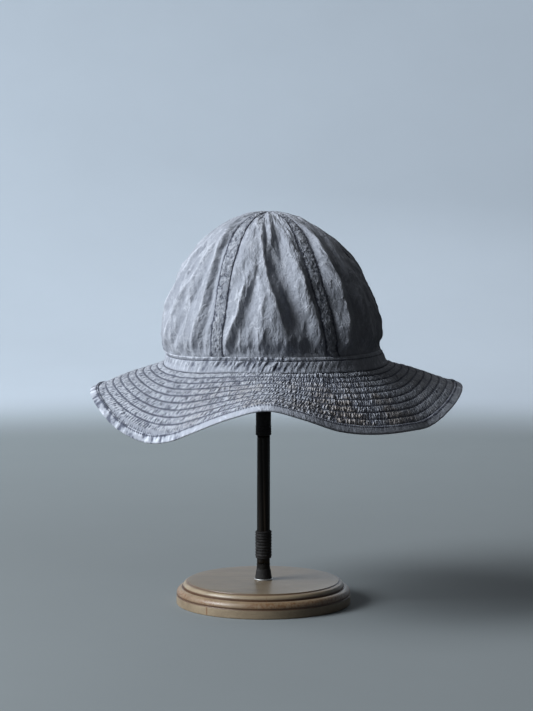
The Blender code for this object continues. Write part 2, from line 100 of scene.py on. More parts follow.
BINDING_WIDTH = 7.5
TAPE_WALL = 1.0
TAPE_STITCH = 1.4               # from the tape's inner edge to its stitch row
TAPE_PUFF = 0.9
TAPE_FLAT_RADIUS = 155.0
HOLE_PITCH = 1.7                # of the needle holes in the brim, beside the tape
TAPE_HOLE_PITCH = 2.3           # of the needle holes in the tape

# Heights of the threads' middles over the plain cloth.
SEAM_THREAD = 0.55
BAND_THREAD = 0.25
BRIM_THREAD = -0.22
UNDER_THREAD = -BRIM_WALL + 0.02
TAPE_THREAD = GAP + TAPE_WALL + 0.1

PANEL_WALL = 0.7
PANEL_SHORT_OF_TIP = 1.8
PANEL_PUFF = 1.2                # between the seams
SEAM_PUFF = 0.55                # close beside a seam
SEAM_HALF_WIDTH = 5.3
SEAM_TIP_HALF_WIDTH = 2.2
SEAM_NARROWS_OVER = 70.0
SEAM_HEIGHT = 0.95
SEAM_EDGE_HEIGHT = 0.2
SEAM_UNDER_HEIGHT = 0.08
SEAM_SHORT_OF_TIP = 7.0
SEAM_LAP = 1.0                  # under the band's edge
SEAM_STITCH = 0.25              # from the strip's edge to its stitch row
SEAM_STEP = 0.7                 # from one column of corners to the next
SEAM_ROWS = 16                  # of corners across the outer face
SEAM_UNDER_ROWS = 4

Section = namedtuple("Section", "rise radius centre_x")
CROWN_SECTIONS = (
    Section(0.0, 91.3, 8.4),
    Section(7.0, 91.5, 6.4),
    Section(20.0, 92.7, 7.0),
    Section(39.0, 88.0, 7.8),
    Section(59.0, 80.2, 6.8),
    Section(77.0, 69.8, 5.5),
    Section(92.0, 57.4, 4.3),
    Section(103.5, 44.6, 3.6),
    Section(111.0, 31.6, 3.1),
    Section(115.9, 19.2, 3.4),
    Section(118.1, 9.0, 3.8),
    Section(118.5, 0.0, 3.8),
)

# The six joins of the panels, each by its azimuth at the band, half-way up and at the tip, and
# by the seed of its strip's crumple. Left and right have one strip, which runs over the tip.
Seam = namedtuple("Seam", "name foot middle head seed")
SEAMS = (
    Seam("left", -90.0, -90.0, -90.0, None),
    Seam("front_left", -28.9, -29.7, -31.0, 63),
    Seam("front_right", 34.3, 28.9, 46.0, 66),
    Seam("right", 90.0, 90.0, 90.0, None),
    Seam("back_right", 150.0, 150.0, 150.0, 72),
    Seam("back_left", 210.0, 210.0, 210.0, 75),
)
OVER_TIP = Seam("over_tip", 90.0, 90.0, 90.0, 71)
FELLED_SEAMS = tuple(seam for seam in SEAMS if seam.seed) + (OVER_TIP,)

# A panel lies between one seam and the next one round.
Panel = namedtuple("Panel", "name columns rows")
PANELS = (
    Panel("front_left", 104, 176),
    Panel("front", 124, 184),
    Panel("front_right", 104, 176),
    Panel("back_right", 84, 136),
    Panel("back", 84, 136),
    Panel("back_left", 84, 136),
)

# Ridges (height above 0) and valleys (below 0). Each bends from its foot through its middle
# azimuth to its head, up the wall. left and right are its widths to either side, and crest is
# the radius of its top.
Fold = namedtuple("Fold", "foot foot_azimuth azimuth head head_azimuth height left right crest")
FOLDS = (
    Fold(20, 7.4, -3.6, 146, -6.0, 2.6, 10.0, 3.0, 0.6),
    Fold(-4, 11.0, 4.2, 72, -2.4, 2.0, 12.0, 3.0, 0.8),
    Fold(88, -2.6, -3.0, 156, -3.4, -1.3, 0.9, 2.2, 0.3),
    Fold(8, 14.0, 7.0, 116, 1.4, -6.4, 5.0, 12.0, 3.2),
    Fold(82, 9.5, 8.4, 142, 11.0, -2.4, 2.4, 5.0, 0.8),
    Fold(100, 3.0, 3.5, 152, 5.0, 1.3, 2.4, 2.4, 0.6),
    Fold(-6, -26.5, -18.6, 86, -12.5, 3.0, 3.2, 4.4, 0.6),
    Fold(-4, -22.0, -12.4, 110, -3.4, -2.2, 3.4, 6.0, 1.8),
    Fold(-4, -8.0, -6.0, 70, -6.0, 0.6, 3.0, 2.0, 0.6),
    Fold(-4, -1.0, -4.0, 40, -8.0, 0.9, 2.4, 1.6, 0.4),
    Fold(-4, -9.0, -6.0, 34, -2.0, 0.7, 1.6, 1.4, 0.4),
    Fold(4, 28.0, 20.6, 104, 15.0, 2.7, 9.0, 4.6, 1.6),
    Fold(-22, 19.5, 19.0, 42, 17.5, -3.4, 7.0, 7.0, 2.5),
    Fold(-40, -53.5, -41.0, 142, -46.0, 3.8, 7.0, 3.4, 0.6),
    Fold(-30, -40.5, -36.6, 124, -36.0, -2.6, 3.8, 3.0, 1.2),
    Fold(-30, -48.5, -44.0, 118, -46.0, -1.3, 4.0, 4.0, 1.6),
    Fold(-8, -72.0, -58.0, 118, -44.0, 3.0, 6.0, 3.2, 0.6),
    Fold(-8, -66.0, -52.0, 96, -42.0, -2.4, 4.0, 4.0, 1.4),
    Fold(14, -88.0, -73.0, 128, -58.0, 2.6, 5.0, 3.0, 0.7),
    Fold(24, -80.0, -66.0, 124, -52.0, -2.0, 4.0, 4.0, 1.4),
    Fold(-24, -52.0, -49.4, 66, -56.0, 1.5, 3.0, 2.4, 0.6),
    Fold(-30, -64.0, -62.5, 90, -64.0, 1.6, 5.0, 3.2, 0.9),
    Fold(-30, -70.0, -68.0, 92, -68.0, -1.6, 5.0, 5.0, 1.6),
    Fold(-10, -78.0, -66.0, 74, -54.0, 1.3, 4.0, 3.0, 0.8),
    Fold(60, -66.0, -56.0, 130, -44.0, 1.5, 5.0, 3.5, 0.8),
    Fold(-20, 41.0, 41.2, 124, 45.0, 4.2, 6.4, 4.0, 0.6),
    Fold(-30, 54.0, 50.0, 124, 62.0, -2.6, 6.0, 6.0, 2.0),
    Fold(-30, 62.0, 61.0, 80, 62.0, 2.0, 4.5, 4.0, 1.2),
    Fold(0, 70.0, 71.0, 110, 72.0, -2.0, 7.0, 7.0, 2.0),
    Fold(-30, 104.0, 107.0, 124, 108.0, 3.0, 6.0, 4.0, 1.0),
    Fold(10, 122.0, 119.0, 130, 116.0, -3.2, 7.0, 6.0, 2.0),
    Fold(-30, 136.0, 134.0, 104, 131.0, 2.8, 5.0, 6.0, 1.0),
    Fold(-30, 163.0, 165.0, 124, 167.0, 3.0, 6.0, 4.0, 1.0),
    Fold(14, 184.0, 178.0, 146, 181.0, -4.4, 7.0, 7.0, 2.2),
    Fold(-30, 198.0, 194.0, 104, 193.0, 3.2, 5.0, 6.0, 1.0),
    Fold(-30, 223.0, 226.0, 114, 229.0, 2.8, 6.0, 5.0, 1.0),
    Fold(10, 238.0, 240.0, 130, 243.0, -3.2, 7.0, 6.0, 2.0),
    Fold(-30, 254.0, 252.0, 114, 252.0, 2.8, 5.0, 6.0, 1.0),
)
FOLD_END_SHARE = 0.28           # of its length, over which a fold rises at either end
FOLD_FADE = 5.0                 # from a seam
FOLD_FOOT = 16.0                # from the band
FOLD_POWER = 1.35               # 1 is a tent, 2 a round wave
FOLD_WANDER = 0.7               # to either side of its line
FOLD_UNEVEN = 0.3               # share of its height
CREASE_COUNT = 1300
CREASE_SEED = 31
CREASE_CREST = 0.25

Sag = namedtuple("Sag", "azimuth depth")
BAND_SAG = (
    Sag(-110.0, 0.0),
    Sag(-56.0, 2.2),
    Sag(-18.0, 0.0),
    Sag(45.0, 0.8),
    Sag(90.0, 0.0),
    Sag(180.0, 0.6),
)

Droop = namedtuple("Droop", "azimuth root_slope edge_slope width")
BRIM_DROOP = (
    Droop(-105.0, 15.0, 27.0, 70.0),
    Droop(-86.0, 15.0, 27.0, 70.0),
    Droop(-74.0, 22.0, 33.0, 71.0),
    Droop(-64.0, 31.0, 50.0, 73.0),
    Droop(-52.0, 37.0, 67.0, 73.0),
    Droop(-40.0, 37.0, 65.0, 71.0),
    Droop(-28.0, 32.0, 49.0, 70.0),
    Droop(-14.0, 26.0, 26.0, 70.0),
    Droop(-3.0, 23.0, 15.0, 70.0),
    Droop(7.0, 26.0, 24.0, 70.0),
    Droop(20.0, 30.0, 44.0, 70.0),
    Droop(34.0, 33.0, 52.0, 70.0),
    Droop(50.0, 34.0, 53.0, 70.0),
    Droop(62.0, 33.0, 52.0, 70.0),
    Droop(72.0, 26.0, 36.0, 70.0),
    Droop(84.0, 16.0, 24.0, 70.0),
    Droop(102.0, 13.0, 24.0, 70.0),
    Droop(122.0, 22.0, 38.0, 70.0),
    Droop(146.0, 31.0, 50.0, 70.0),
    Droop(172.0, 27.0, 26.0, 70.0),
    Droop(194.0, 28.0, 32.0, 70.0),
    Droop(216.0, 32.0, 52.0, 70.0),
    Droop(236.0, 24.0, 38.0, 70.0),
)

# How strongly band, brim and binding are puckered, how warm the brim is and how far its edge
# curls down.
Pucker = namedtuple("Pucker", "azimuth band brim binding warm curl")
PUCKERS = (
    Pucker(-90.0, 0.8, 0.9, 1.0, 0.0, 0.0),
    Pucker(-50.0, 0.7, 1.0, 1.0, 0.0, 0.0),
    Pucker(-25.0, 1.4, 1.0, 0.2, 0.25, 1.2),
    Pucker(0.0, 1.7, 1.2, 0.1, 0.5, 2.5),
    Pucker(22.0, 0.7, 1.7, 0.1, 0.9, 1.4),
    Pucker(45.0, 0.2, 1.0, 0.2, 0.8, 0.2),
    Pucker(70.0, 0.4, 0.5, 0.3, 0.15, 0.0),
    Pucker(140.0, 0.8, 0.8, 0.7, 0.4, 0.0),
    Pucker(200.0, 0.9, 0.9, 0.6, 0.4, 0.0),
)

# Layers of noise round the hat: cells in the whole turn, how far they lean and how long they
# are up the cloth, a seed, and the height in millimetres.
Ripples = namedtuple("Ripples", "count lean length seed height")
GATHERS = (Ripples(250, 0.0, 26.0, 3, 0.45), Ripples(420, 0.0, 14.0, 4, 0.4))
CRUMPLE = (
    Ripples(38, 0.0, 24.0, 9, 0.9),
    Ripples(64, 0.0, 15.0, 5, 0.85),
    Ripples(150, 0.0, 7.0, 6, 0.38),
    Ripples(330, 0.0, 3.4, 7, 0.1),
)
SEAM_PUCKERS = (Ripples(110, 0.0, 2.2, 8, 0.5),)
BAND_PUCKERS = (Ripples(400, -0.55, 6.0, 21, 0.6), Ripples(210, -0.3, 4.0, 22, 0.5))
BRIM_PUCKERS = (Ripples(760, 0.9, 1 / 1.15, 11, 0.6), Ripples(340, 0.54, 1 / 0.9, 12, 0.35))
BRIM_UNEVEN = (Ripples(70, 0.0, 22.0, 14, 0.4),)
TAPE_PUCKERS = (Ripples(330, 0.08, 9.0, 41, 0.8), Ripples(620, 0.0, 4.0, 42, 0.3))


# ------------------------------------------------------------------ sizes of the stand
BASE_HEIGHT = 19.5
BASE_TOP_RADIUS = 64.9
BASE_STEP_RADIUS = 65.4
BASE_STEP_HEIGHT = 18.7
OVOLO_HEIGHT = 14.9
OVOLO_SIZE = 3.6
BEAD_RADIUS = 69.6
BEAD_HEIGHT = 8.9
BEAD_SIZE = 5.0
BASE_RADIUS = 74.8
BASE_SIDE_TOP = 7.9
BASE_EDGE = 0.5                 # radius of its small round edges
WASHER_HEIGHT = 0.8
WASHER_RADIUS = 7.7
WASHER_EDGE = 0.25
FOOT_TOP = 33.3
FOOT_TOP_RADIUS = 5.9
FOOT_BOTTOM_RADIUS = 7.3
FOOT_LAYER = 0.55               # the wrapping's upper layer
SHAFT_RADIUS = 5.6
SHAFT_LEVELS = 44
FLUTE_DEPTH = 0.7
FLUTE_COUNT = 5
COLLAR_BOTTOM = 38.6
COLLAR_TOP = 62.2
COLLAR_RADIUS = 7.15
COLLAR_STEPS = 110
WRAP_PITCH = 2.5                # from one turn of the collar's tape to the next
WRAP_DEPTH = 0.55
SLEEVE_BOTTOM = 144.5
SLEEVE_RADIUS = 6.6
SLEEVE_RING_TOP = 157.0
SLEEVE_RIB_TOP = 153.0
SLEEVE_RIB_PITCH = 2.1
REST_TOP = 332.7
REST_DOME_RADIUS = 38.0
REST_RIM_RADIUS = 24.0
REST_RIM_EDGE = 1.4


# ------------------------------------------------------------------ the photograph's camera
PHOTO_LONG_SIDE = 711
CAMERA_FOCAL_PIXELS = 2168.0
CAMERA_DISTANCE = 1.84          # metres
CAMERA_HEIGHT = 0.3727
CAMERA_PITCH = 4.9698           # degrees below the horizon
CAMERA_YAW = 0.0803             # degrees towards +X
SENSOR = 36.0


# ------------------------------------------------------------------ sizes of the stage
COVE_RADIUS = 3200.0
COVE_BEND = 1500.0
COVE_HEIGHT = 2600.0

# Windows by their place, what they face, their width and height, the setting that holds their
# power, and their colour. In metres.
Window = namedtuple("Window", "name place target size power colour")
WINDOWS = (
    Window("key window", (-1.92, -0.70, 1.32), (0.0, 0.0, 0.25), (1.3, 1.0), "key_power",
           (0.90, 0.95, 1.0)),
    Window("upper window", (-1.6, -0.3, 1.9), (0.0, 0.0, 0.25), (1.4, 1.4), "fill_power",
           (0.93, 0.96, 1.0)),
    Window("rear window", (0.6, 2.1, 1.2), (0.0, 0.0, 0.25), (1.2, 1.2), "rear_power",
           (0.93, 0.96, 1.0)),
    Window("backdrop wash", (-0.9, 1.2, 1.5), (-0.45, 3.2, 0.35), (2.4, 1.4), "back_power",
           (0.84, 0.93, 1.0)),
)


# ------------------------------------------------------------------ small mathematics
def ease(x):
    """0 below 0, 1 above 1, and a smooth step between."""
    x = np.clip(x, 0.0, 1.0)
    return x * x * (3.0 - 2.0 * x)


def turn_between(azimuth, other):
    """The shorter way round from one azimuth to another, in degrees."""
    return (other - azimuth + 180.0) % 360.0 - 180.0


def three_point(foot, middle, head, x):
    """A parabola through foot at 0, middle at a half and head at 1."""
    return foot * (1 - x) * (1 - 2 * x) + 4 * middle * x * (1 - x) + head * x * (2 * x - 1)


class SmoothTable:
    """Rows of numbers, read between them on a cubic. With a period it closes on itself."""

    def __init__(self, rows, period=None):
        rows = np.array([tuple(row) for row in rows], float)
        self.start = rows[0, 0]
        self.period = period
        if period:
            before = rows[-2:].copy()
            before[:, 0] -= period
            after = rows[:2].copy()
            after[:, 0] += period
            rows = np.vstack((before, rows, after))
        self.keys = rows[:, 0]
        self.values = rows[:, 1:]
        low = np.maximum(np.arange(len(rows)) - 1, 0)
        high = np.minimum(np.arange(len(rows)) + 1, len(rows) - 1)
        step = (self.keys[high] - self.keys[low])[:, None]
        self.slopes = (self.values[high] - self.values[low]) / step

    def read(self, key):
        """All columns but the first, at values of the first."""
        key = np.asarray(key, float)
        if self.period:
            key = self.start + (key - self.start) % self.period
        low = np.clip(np.searchsorted(self.keys, key) - 1, 0, len(self.keys) - 2)
        span = (self.keys[low + 1] - self.keys[low])[..., None]
        x = (key - self.keys[low])[..., None] / span
        rise = self.values[low + 1] - self.values[low]
        near = self.slopes[low] * span * (1.0 - x) ** 2 * x
        far = self.slopes[low + 1] * span * (1.0 - x) * x ** 2
        values = self.values[low] + rise * x * x * (3.0 - 2.0 * x) + near - far
        return np.moveaxis(values, -1, 0)


def lattice(column, row, seed, period):
    """A number from -1 to 1 for each corner of a grid, which repeats after period columns."""
    column = column.astype(np.int64) % period
    mixed = column * 374761393 + row.astype(np.int64) * 668265263 + seed * 144269504
    mixed = (mixed ^ (mixed >> 13)) * 1274126177
    mixed ^= mixed >> 16
    return (mixed & 0xFFFF) / 32767.5 - 1.0


def ripple(x, y, seed, period=100000):
    """Smooth noise from -1 to 1, with a cell a unit wide each way."""
    x, y = np.broadcast_arrays(np.asarray(x, float), np.asarray(y, float))
    column, row = np.floor(x), np.floor(y)
    across, up = ease(x - column), ease(y - row)
    low = lattice(column, row, seed, period) * (1.0 - across)
    low += lattice(column + 1, row, seed, period) * across
    high = lattice(column, row + 1, seed, period) * (1.0 - across)
    high += lattice(column + 1, row + 1, seed, period) * across
    return low * (1.0 - up) + high * up


def ripples(layers, azimuth, up):
    """Layers of noise together, at places by azimuth and by distance up the cloth."""
    turn = azimuth / 360.0
    total = 0.0
    for layer in layers:
        across = turn * layer.count + layer.lean * up
        total = total + layer.height * ripple(across, up / layer.length, layer.seed, layer.count)
    return total


def travelled(sections):
    """The sections, each behind the distance run along the wall to reach it."""
    rows = []
    travel = 0.0
    for index, section in enumerate(sections):
        if index:
            last = sections[index - 1]
            travel += math.hypot(section.rise - last.rise, section.radius - last.radius)
        rows.append((travel, *section))
    return rows


CROWN_WALL = SmoothTable(travelled(CROWN_SECTIONS))
CROWN_TRAVEL = float(CROWN_WALL.keys[-1])
SAG_AROUND = SmoothTable(BAND_SAG, 360.0)
BRIM_AROUND = SmoothTable(BRIM_DROOP, 360.0)
PUCKERS_AROUND = SmoothTable(PUCKERS, 360.0)


def ring_points(azimuth, radius, centre_x, height):
    """Points of level rings, in metres."""
    turn = np.radians(azimuth)
    x = centre_x + radius * np.sin(turn)
    y = -radius * np.cos(turn)
    return np.stack(np.broadcast_arrays(x, y, height), axis=-1) * MM


def leaning(azimuth, outward, upward):
    """Unit vectors with these outward and upward shares."""
    turn = np.radians(azimuth)
    parts = (outward * np.sin(turn), -outward * np.cos(turn), upward)
    return np.stack(np.broadcast_arrays(*parts), axis=-1)


def raised(surface, lift):
    """Points lifted by millimetres off a surface, which is its points and unit vectors."""
    return surface[0] + surface[1] * np.asarray(lift)[..., None] * MM


# ------------------------------------------------------------------ the crown's surface
def seam_azimuth(seam, travel):
    """Where a join of two panels is, at distances up the crown."""
    return three_point(seam.foot, seam.middle, seam.head, travel / CROWN_TRAVEL)


def seam_half_width(travel):
    opened = ease((CROWN_TRAVEL - travel) / SEAM_NARROWS_OVER)
    return SEAM_TIP_HALF_WIDTH + (SEAM_HALF_WIDTH - SEAM_TIP_HALF_WIDTH) * opened


def from_nearest_seam(azimuth, travel, radius):
    """Distance across the cloth to the nearest stitch row, below 0 between the two rows."""
    nearest = np.full(np.shape(radius), np.inf)
    for seam in SEAMS:
        turn = np.abs(turn_between(azimuth, seam_azimuth(seam, travel)))
        nearest = np.minimum(nearest, np.radians(turn) * radius)
    return nearest - seam_half_width(travel)


def tent(across, left, right, crest):
    """A ridge 1 high, with a width to either side and a rounded crest."""
    width = np.where(across < 0.0, left, right)
    out = (across ** 2 + crest ** 2) ** (FOLD_POWER / 2.0) - crest ** FOLD_POWER
    return np.exp(-out / width ** FOLD_POWER)


def main_folds(azimuth, travel, radius):
    """The height of the folds, and how pale their crests are, from rubbing and as painted
    highlight.
    """
    height = np.zeros(np.shape(radius))
    wear = np.zeros(np.shape(radius))
    for index, fold in enumerate(FOLDS):
        along = np.clip((travel - fold.foot) / (fold.head - fold.foot), 0.0, 1.0)
        middle = three_point(fold.foot_azimuth, fold.azimuth, fold.head_azimuth, along)
        across = np.radians(turn_between(middle, azimuth)) * radius
        across = across + FOLD_WANDER * ripple(travel / 19.0 + 9 * index, 0.0, 92)
        ends = ease(along / FOLD_END_SHARE) * ease((1.0 - along) / FOLD_END_SHARE)
        ends = ends * (1.0 + FOLD_UNEVEN * ripple(travel / 16.0 + 7 * index, 0.0, 93))
        height += fold.height * ends * tent(across, fold.left, fold.right, fold.crest)
        # Paler along ridge crests: rubbing and painted highlight.
        if fold.height > 0.0:
            wear += 0.3 * fold.height * ends * tent(across, 1.3, 1.0, 0.4)
    return height, wear


Crease = namedtuple("Crease", "azimuth travel lean length height width")


def scatter_creases(count, seed):
    """Small creases all over the crown, most of them nearly upright."""
    dice = random.Random(seed)
    creases = []
    while len(creases) < count:
        travel = dice.uniform(4.0, CROWN_TRAVEL - 12.0)
        radius = float(CROWN_WALL.read(travel)[1])
        if dice.random() * BAND_TOP_RADIUS < radius:
            creases.append(Crease(
                dice.uniform(-180.0, 180.0), travel, dice.gauss(0.0, 20.0),
                dice.uniform(7.0, 30.0), dice.triangular(-0.7, 0.8, 0.03),
                dice.uniform(0.6, 2.2)))
    return creases


CREASES = scatter_creases(CREASE_COUNT, CREASE_SEED)


def small_creases(azimuth, travel, radius):
    """The height of the scattered creases."""
    total = np.zeros(np.shape(radius))
    for crease in CREASES:
        up = travel - crease.travel
        sideways = np.radians(turn_between(crease.azimuth, azimuth)) * radius
        near = (np.abs(up) < crease.length) & (np.abs(sideways) < crease.length)
        if not near.any():
            continue
        lean = math.radians(crease.lean)
        along = up[near] * math.cos(lean) + sideways[near] * math.sin(lean)
        across = sideways[near] * math.cos(lean) - up[near] * math.sin(lean)
        ends = ease(2.0 - 4.0 * np.abs(along) / crease.length)
        total[near] += crease.height * ends * tent(across, crease.width, crease.width, CREASE_CREST)
    return total


def crown_detail(azimuth, travel, clear):
    """Gathers above the band, puckers along the seams and the crumple of washed cloth."""
    gathers = ripples(GATHERS, azimuth, travel) * np.exp(-travel / 18.0)
    pulled = ripples(SEAM_PUCKERS, azimuth, travel) * np.exp(-clear / 3.2)
    return (gathers + ripples(CRUMPLE, azimuth, travel) + pulled) * ease(clear / 1.5)


def crown_relief(azimuth, travel, radius, fold_depth):
    """How far the cloth stands out from the plain wall, and how pale or dark it is: above 0
    pale, from rubbing and as painted highlight on ridges, below 0 dark, from dye and as painted
    shade in hollows, beside the seams and at the band's edge.
    """
    clear = np.maximum(from_nearest_seam(azimuth, travel, radius), 0.0)
    near_tip = ease((CROWN_TRAVEL - travel) / SEAM_NARROWS_OVER)
    puff = PANEL_PUFF * near_tip * ease(clear / 9.0)
    puff += SEAM_PUFF * (1.0 - np.exp(-clear / 1.1))
    puff *= ease((travel - BAND_HEM) / 14.0)
    folds, crests = main_folds(azimuth, travel, radius)
    folds = fold_depth * folds * ease(clear / FOLD_FADE) * ease(travel / FOLD_FOOT)
    creases = small_creases(azimuth, travel, radius) * ease(clear / 3.0)
    hem = ease((travel - BAND_HEM) / 2.5)
    relief = (puff + folds + crown_detail(azimuth, travel, clear) + creases) * hem
    # Paler crests and creases and darker hollows: rubbing and dye with painted highlight and
    # painted shade. Darker beside the seams' stitch rows and at the band's edge: painted shade.
    wear = 0.7 * np.tanh(crests) + 0.3 * np.tanh(creases / 0.4) - 1.6 * np.exp(-clear / 0.9)
    return relief, wear - 0.2 * (1.0 - hem)


def crown_wall(azimuth, travel):
    """The plain wall's points, its outward unit vectors and its radius."""
    rise, radius, centre_x = CROWN_WALL.read(travel)
    low = CROWN_WALL.read(np.maximum(travel - 0.5, 0.0))
    high = CROWN_WALL.read(np.minimum(travel + 0.5, CROWN_TRAVEL))
    up = high[0] - low[0]
    inward = low[1] - high[1]
    length = np.hypot(up, inward)
    sag = SAG_AROUND.read(azimuth)[0] * (1.0 - ease(rise / SAG_FADE))
    points = ring_points(azimuth, radius, centre_x, BAND_TOP - sag + rise)
    return points, leaning(azimuth, up / length, inward / length), radius


# ------------------------------------------------------------------ the brim's surface
def brim_sheet(azimuth, reach):
    """The brim's plain upper face: points and the unit vectors that stand on it."""
    root_slope, edge_slope, width = BRIM_AROUND.read(azimuth)
    slope = root_slope + (edge_slope - root_slope) * reach / width
    half_turn = np.radians(slope - root_slope) / 2.0
    chord = reach * np.sinc(half_turn / np.pi)
    run = np.radians(root_slope) + half_turn
    lean = np.radians(slope)
    radius = BRIM_ROOT_RADIUS + chord * np.cos(run)
    height = BAND_BOTTOM - GAP - SAG_AROUND.read(azimuth)[0] - chord * np.sin(run)
    curled = np.clip(1.0 - (width - reach) / CURL_WIDTH, 0.0, 1.0) ** 1.4
    height = height - PUCKERS_AROUND.read(azimuth)[4] * curled
    points = ring_points(azimuth, radius, BAND_BOTTOM_X, height)
    return points, leaning(azimuth, np.sin(lean), np.cos(lean))


def brim_width(azimuth):
    return BRIM_AROUND.read(azimuth)[2]


def quilt_row(reach):
    """Counts stitch rows from the joint under the band: a whole number on each row."""
    row = np.interp(reach, QUILT_ROWS, np.arange(len(QUILT_ROWS)))
    return row + np.minimum(reach - QUILT_ROWS[0], 0.0) / (QUILT_ROWS[1] - QUILT_ROWS[0])


def brim_relief(azimuth, reach):
    """The quilting's height, 1 at a full pucker: ridges between rows, a groove on each."""
    row = quilt_row(reach)
    between = row - np.floor(row)
    body = (4.0 * between * (1.0 - between)) ** 0.7
    ridges = PUCKERS_AROUND.read(azimuth)[1] * ripples(BRIM_PUCKERS, azimuth, row)
    rolled = QUILT_ROLL * (row < 1.0) * (row > 0.0)
    return body * (QUILT_PUFF + rolled + ridges) - QUILT_GROOVE * (1.0 - body) ** 3


# ------------------------------------------------------------------ cloth as meshes
# Points in metres, flat cloth in millimetres, rubbing with painted highlight and shade,
# row count, pucker strength, warmth.
Cloth = namedtuple("Cloth", "points flat wear row pucker warm", defaults=(0.0, 0.0, 0.0))


def link_piece(name, mesh, material, nodes):
    """Makes the finished mesh a piece of the object."""
    mesh.materials.append(material)
    mesh.shade_smooth()
    piece = bpy.data.objects.new(name, mesh)
    bpy.context.scene.collection.objects.link(piece)
    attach(piece, BODY)
    if nodes:
        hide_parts(*nodes)
    return piece


def to_mesh(name, work):
    """Ends the work on a mesh and gives it."""
    mesh = bpy.data.meshes.new(name)
    work.to_mesh(mesh)
    work.free()
    return mesh


def corners_of(mesh):
    """A mesh's corners, a row for each."""
    corners = np.empty(len(mesh.vertices) * 3, np.float32)
    mesh.vertices.foreach_get("co", corners)
    return corners.reshape(-1, 3)


def move_corners(mesh, points):
    mesh.vertices.foreach_set("co", points.astype(np.float32).ravel())


def cloth_mesh(name, columns, rows, lay, closed=False):
    """A grid of cloth. lay takes the corners' columns and rows, as whole numbers, and gives
    their Cloth. A closed grid is sewn to itself wherever its corners meet.
    """
    work = bmesh.new()
    bmesh.ops.create_grid(work, x_segments=columns, y_segments=rows, size=1.0)
    mesh = to_mesh(name, work)
    corners = corners_of(mesh)
    column = np.rint((corners[:, 0] + 1.0) / 2.0 * columns)
    row = np.rint((corners[:, 1] + 1.0) / 2.0 * rows)
    cloth = lay(column, row)
    move_corners(mesh, cloth.points)
    for layer in ("wear", "row", "pucker", "warm"):
        values = getattr(cloth, layer)
        if np.any(values):
            attribute = mesh.attributes.new(layer, "FLOAT", "POINT")
            values = np.broadcast_to(values, column.shape).astype(np.float32)
            attribute.data.foreach_set("value", values)
    owner = np.empty(len(mesh.loops), np.int32)
    mesh.loops.foreach_get("vertex_index", owner)
    flat = mesh.uv_layers.new(name="cloth")
    flat.data.foreach_set("uv", (cloth.flat[owner] * MM).astype(np.float32).ravel())
    if closed:
        work = bmesh.new()
        work.from_mesh(mesh)
        bmesh.ops.remove_doubles(work, verts=work.verts, dist=0.01 * MM)
        open_edges = [edge for edge in work.edges if edge.is_boundary]
        if open_edges:
            bmesh.ops.holes_fill(work, edges=open_edges, sides=0)
        bmesh.ops.recalc_face_normals(work, faces=work.faces)
        work.to_mesh(mesh)
        work.free()
    mesh.update()
    return mesh


def add_wall(piece, wall):
    """Gives a sheet its thickness, behind the face it was made with."""
    solidify = piece.modifiers.new("wall", "SOLIDIFY")
    solidify.thickness = wall * MM
    solidify.offset = -1.0


def make_panel(index, fold_depth, material):
    """One gore of the crown, from the middle of one seam to the middle of the next."""
    panel = PANELS[index]
    left = SEAMS[index]
    right = SEAMS[(index + 1) % len(SEAMS)]

    def lay(column, row):
        travel = (CROWN_TRAVEL - PANEL_SHORT_OF_TIP) * row / panel.rows
        low = seam_azimuth(left, travel)
        width = turn_between(low, seam_azimuth(right, travel))
        radius = CROWN_WALL.read(travel)[1]
        edge = np.degrees(GAP / 2.0 / radius)
        azimuth = low + edge + (width - 2.0 * edge) * column / panel.columns
        relief, wear = crown_relief(azimuth, travel, radius, fold_depth)
        middle = low + width / 2.0
        flat = np.stack((np.radians(azimuth - middle) * radius, travel), axis=-1)
        return Cloth(raised(crown_wall(azimuth, travel), relief), flat, wear)

    mesh = cloth_mesh("cloth_panel_" + panel.name, panel.columns, panel.rows, lay)
    piece = link_piece(mesh.name, mesh, material, ["crown_panel_" + panel.name])
    add_wall(piece, PANEL_WALL)


# ------------------------------------------------------------------ felled seams
def seam_ends(seam, lap):
    """Distances along a strip where it starts and ends. The one over the tip counts from
    there, the others from the crown's lower edge.
    """
    foot = BAND_HEM - lap
    if seam is OVER_TIP:
        return foot - CROWN_TRAVEL, CROWN_TRAVEL - foot
    return foot, CROWN_TRAVEL - SEAM_SHORT_OF_TIP


def beside_seam(seam, distance, across, inset=0.0):
    """The crown's wall across a strip, where across is -1 and 1 at the strip's edges, and the
    offset from its middle line.
    """
    travel = CROWN_TRAVEL - np.abs(distance) if seam is OVER_TIP else distance
    offset = across * (seam_half_width(travel) - inset)
    radius = CROWN_WALL.read(travel)[1]
    if seam is OVER_TIP:
        way = np.where(distance < 0.0, -1.0, 1.0)
        azimuth = np.degrees(np.arctan2(way * radius, offset))
        travel = CROWN_TRAVEL - np.hypot(distance, offset)
    else:
        azimuth = seam_azimuth(seam, travel) + np.degrees(offset / radius)
    return crown_wall(azimuth, travel), offset


def seam_lift(across, outer, distance, seed):
    """Height and colour of a felled seam's puckered face, by the way along and across it."""
    flank = np.abs(across) ** 3
    crumple = ripple(across * 2.2 + 40.0, distance / 1.9, seed) * 0.34
    crumple += ripple(across * 4.6 + 80.0, distance / 1.05, seed + 1) * 0.22
    crumple += ripple(across * 1.1 + 90.0, distance / 6.0, seed + 3) * 0.25
    edge = ripple(np.sign(across) * 3.0, distance / 1.7, seed + 2) * 0.2
    lift = SEAM_EDGE_HEIGHT + edge * flank
    lift += (SEAM_HEIGHT - SEAM_EDGE_HEIGHT + crumple) * (1.0 - flank)
    lift = np.maximum(lift, SEAM_UNDER_HEIGHT + 0.05)
    # Paler on the crumple's ridges, from rubbing and as painted highlight; darker towards the edges
    # as painted shade in the stitch grooves.
    wear = 0.7 * np.tanh(3.0 * crumple) - 0.25 - 1.5 * flank ** 2.5
    return np.where(outer, lift, SEAM_UNDER_HEIGHT), wear


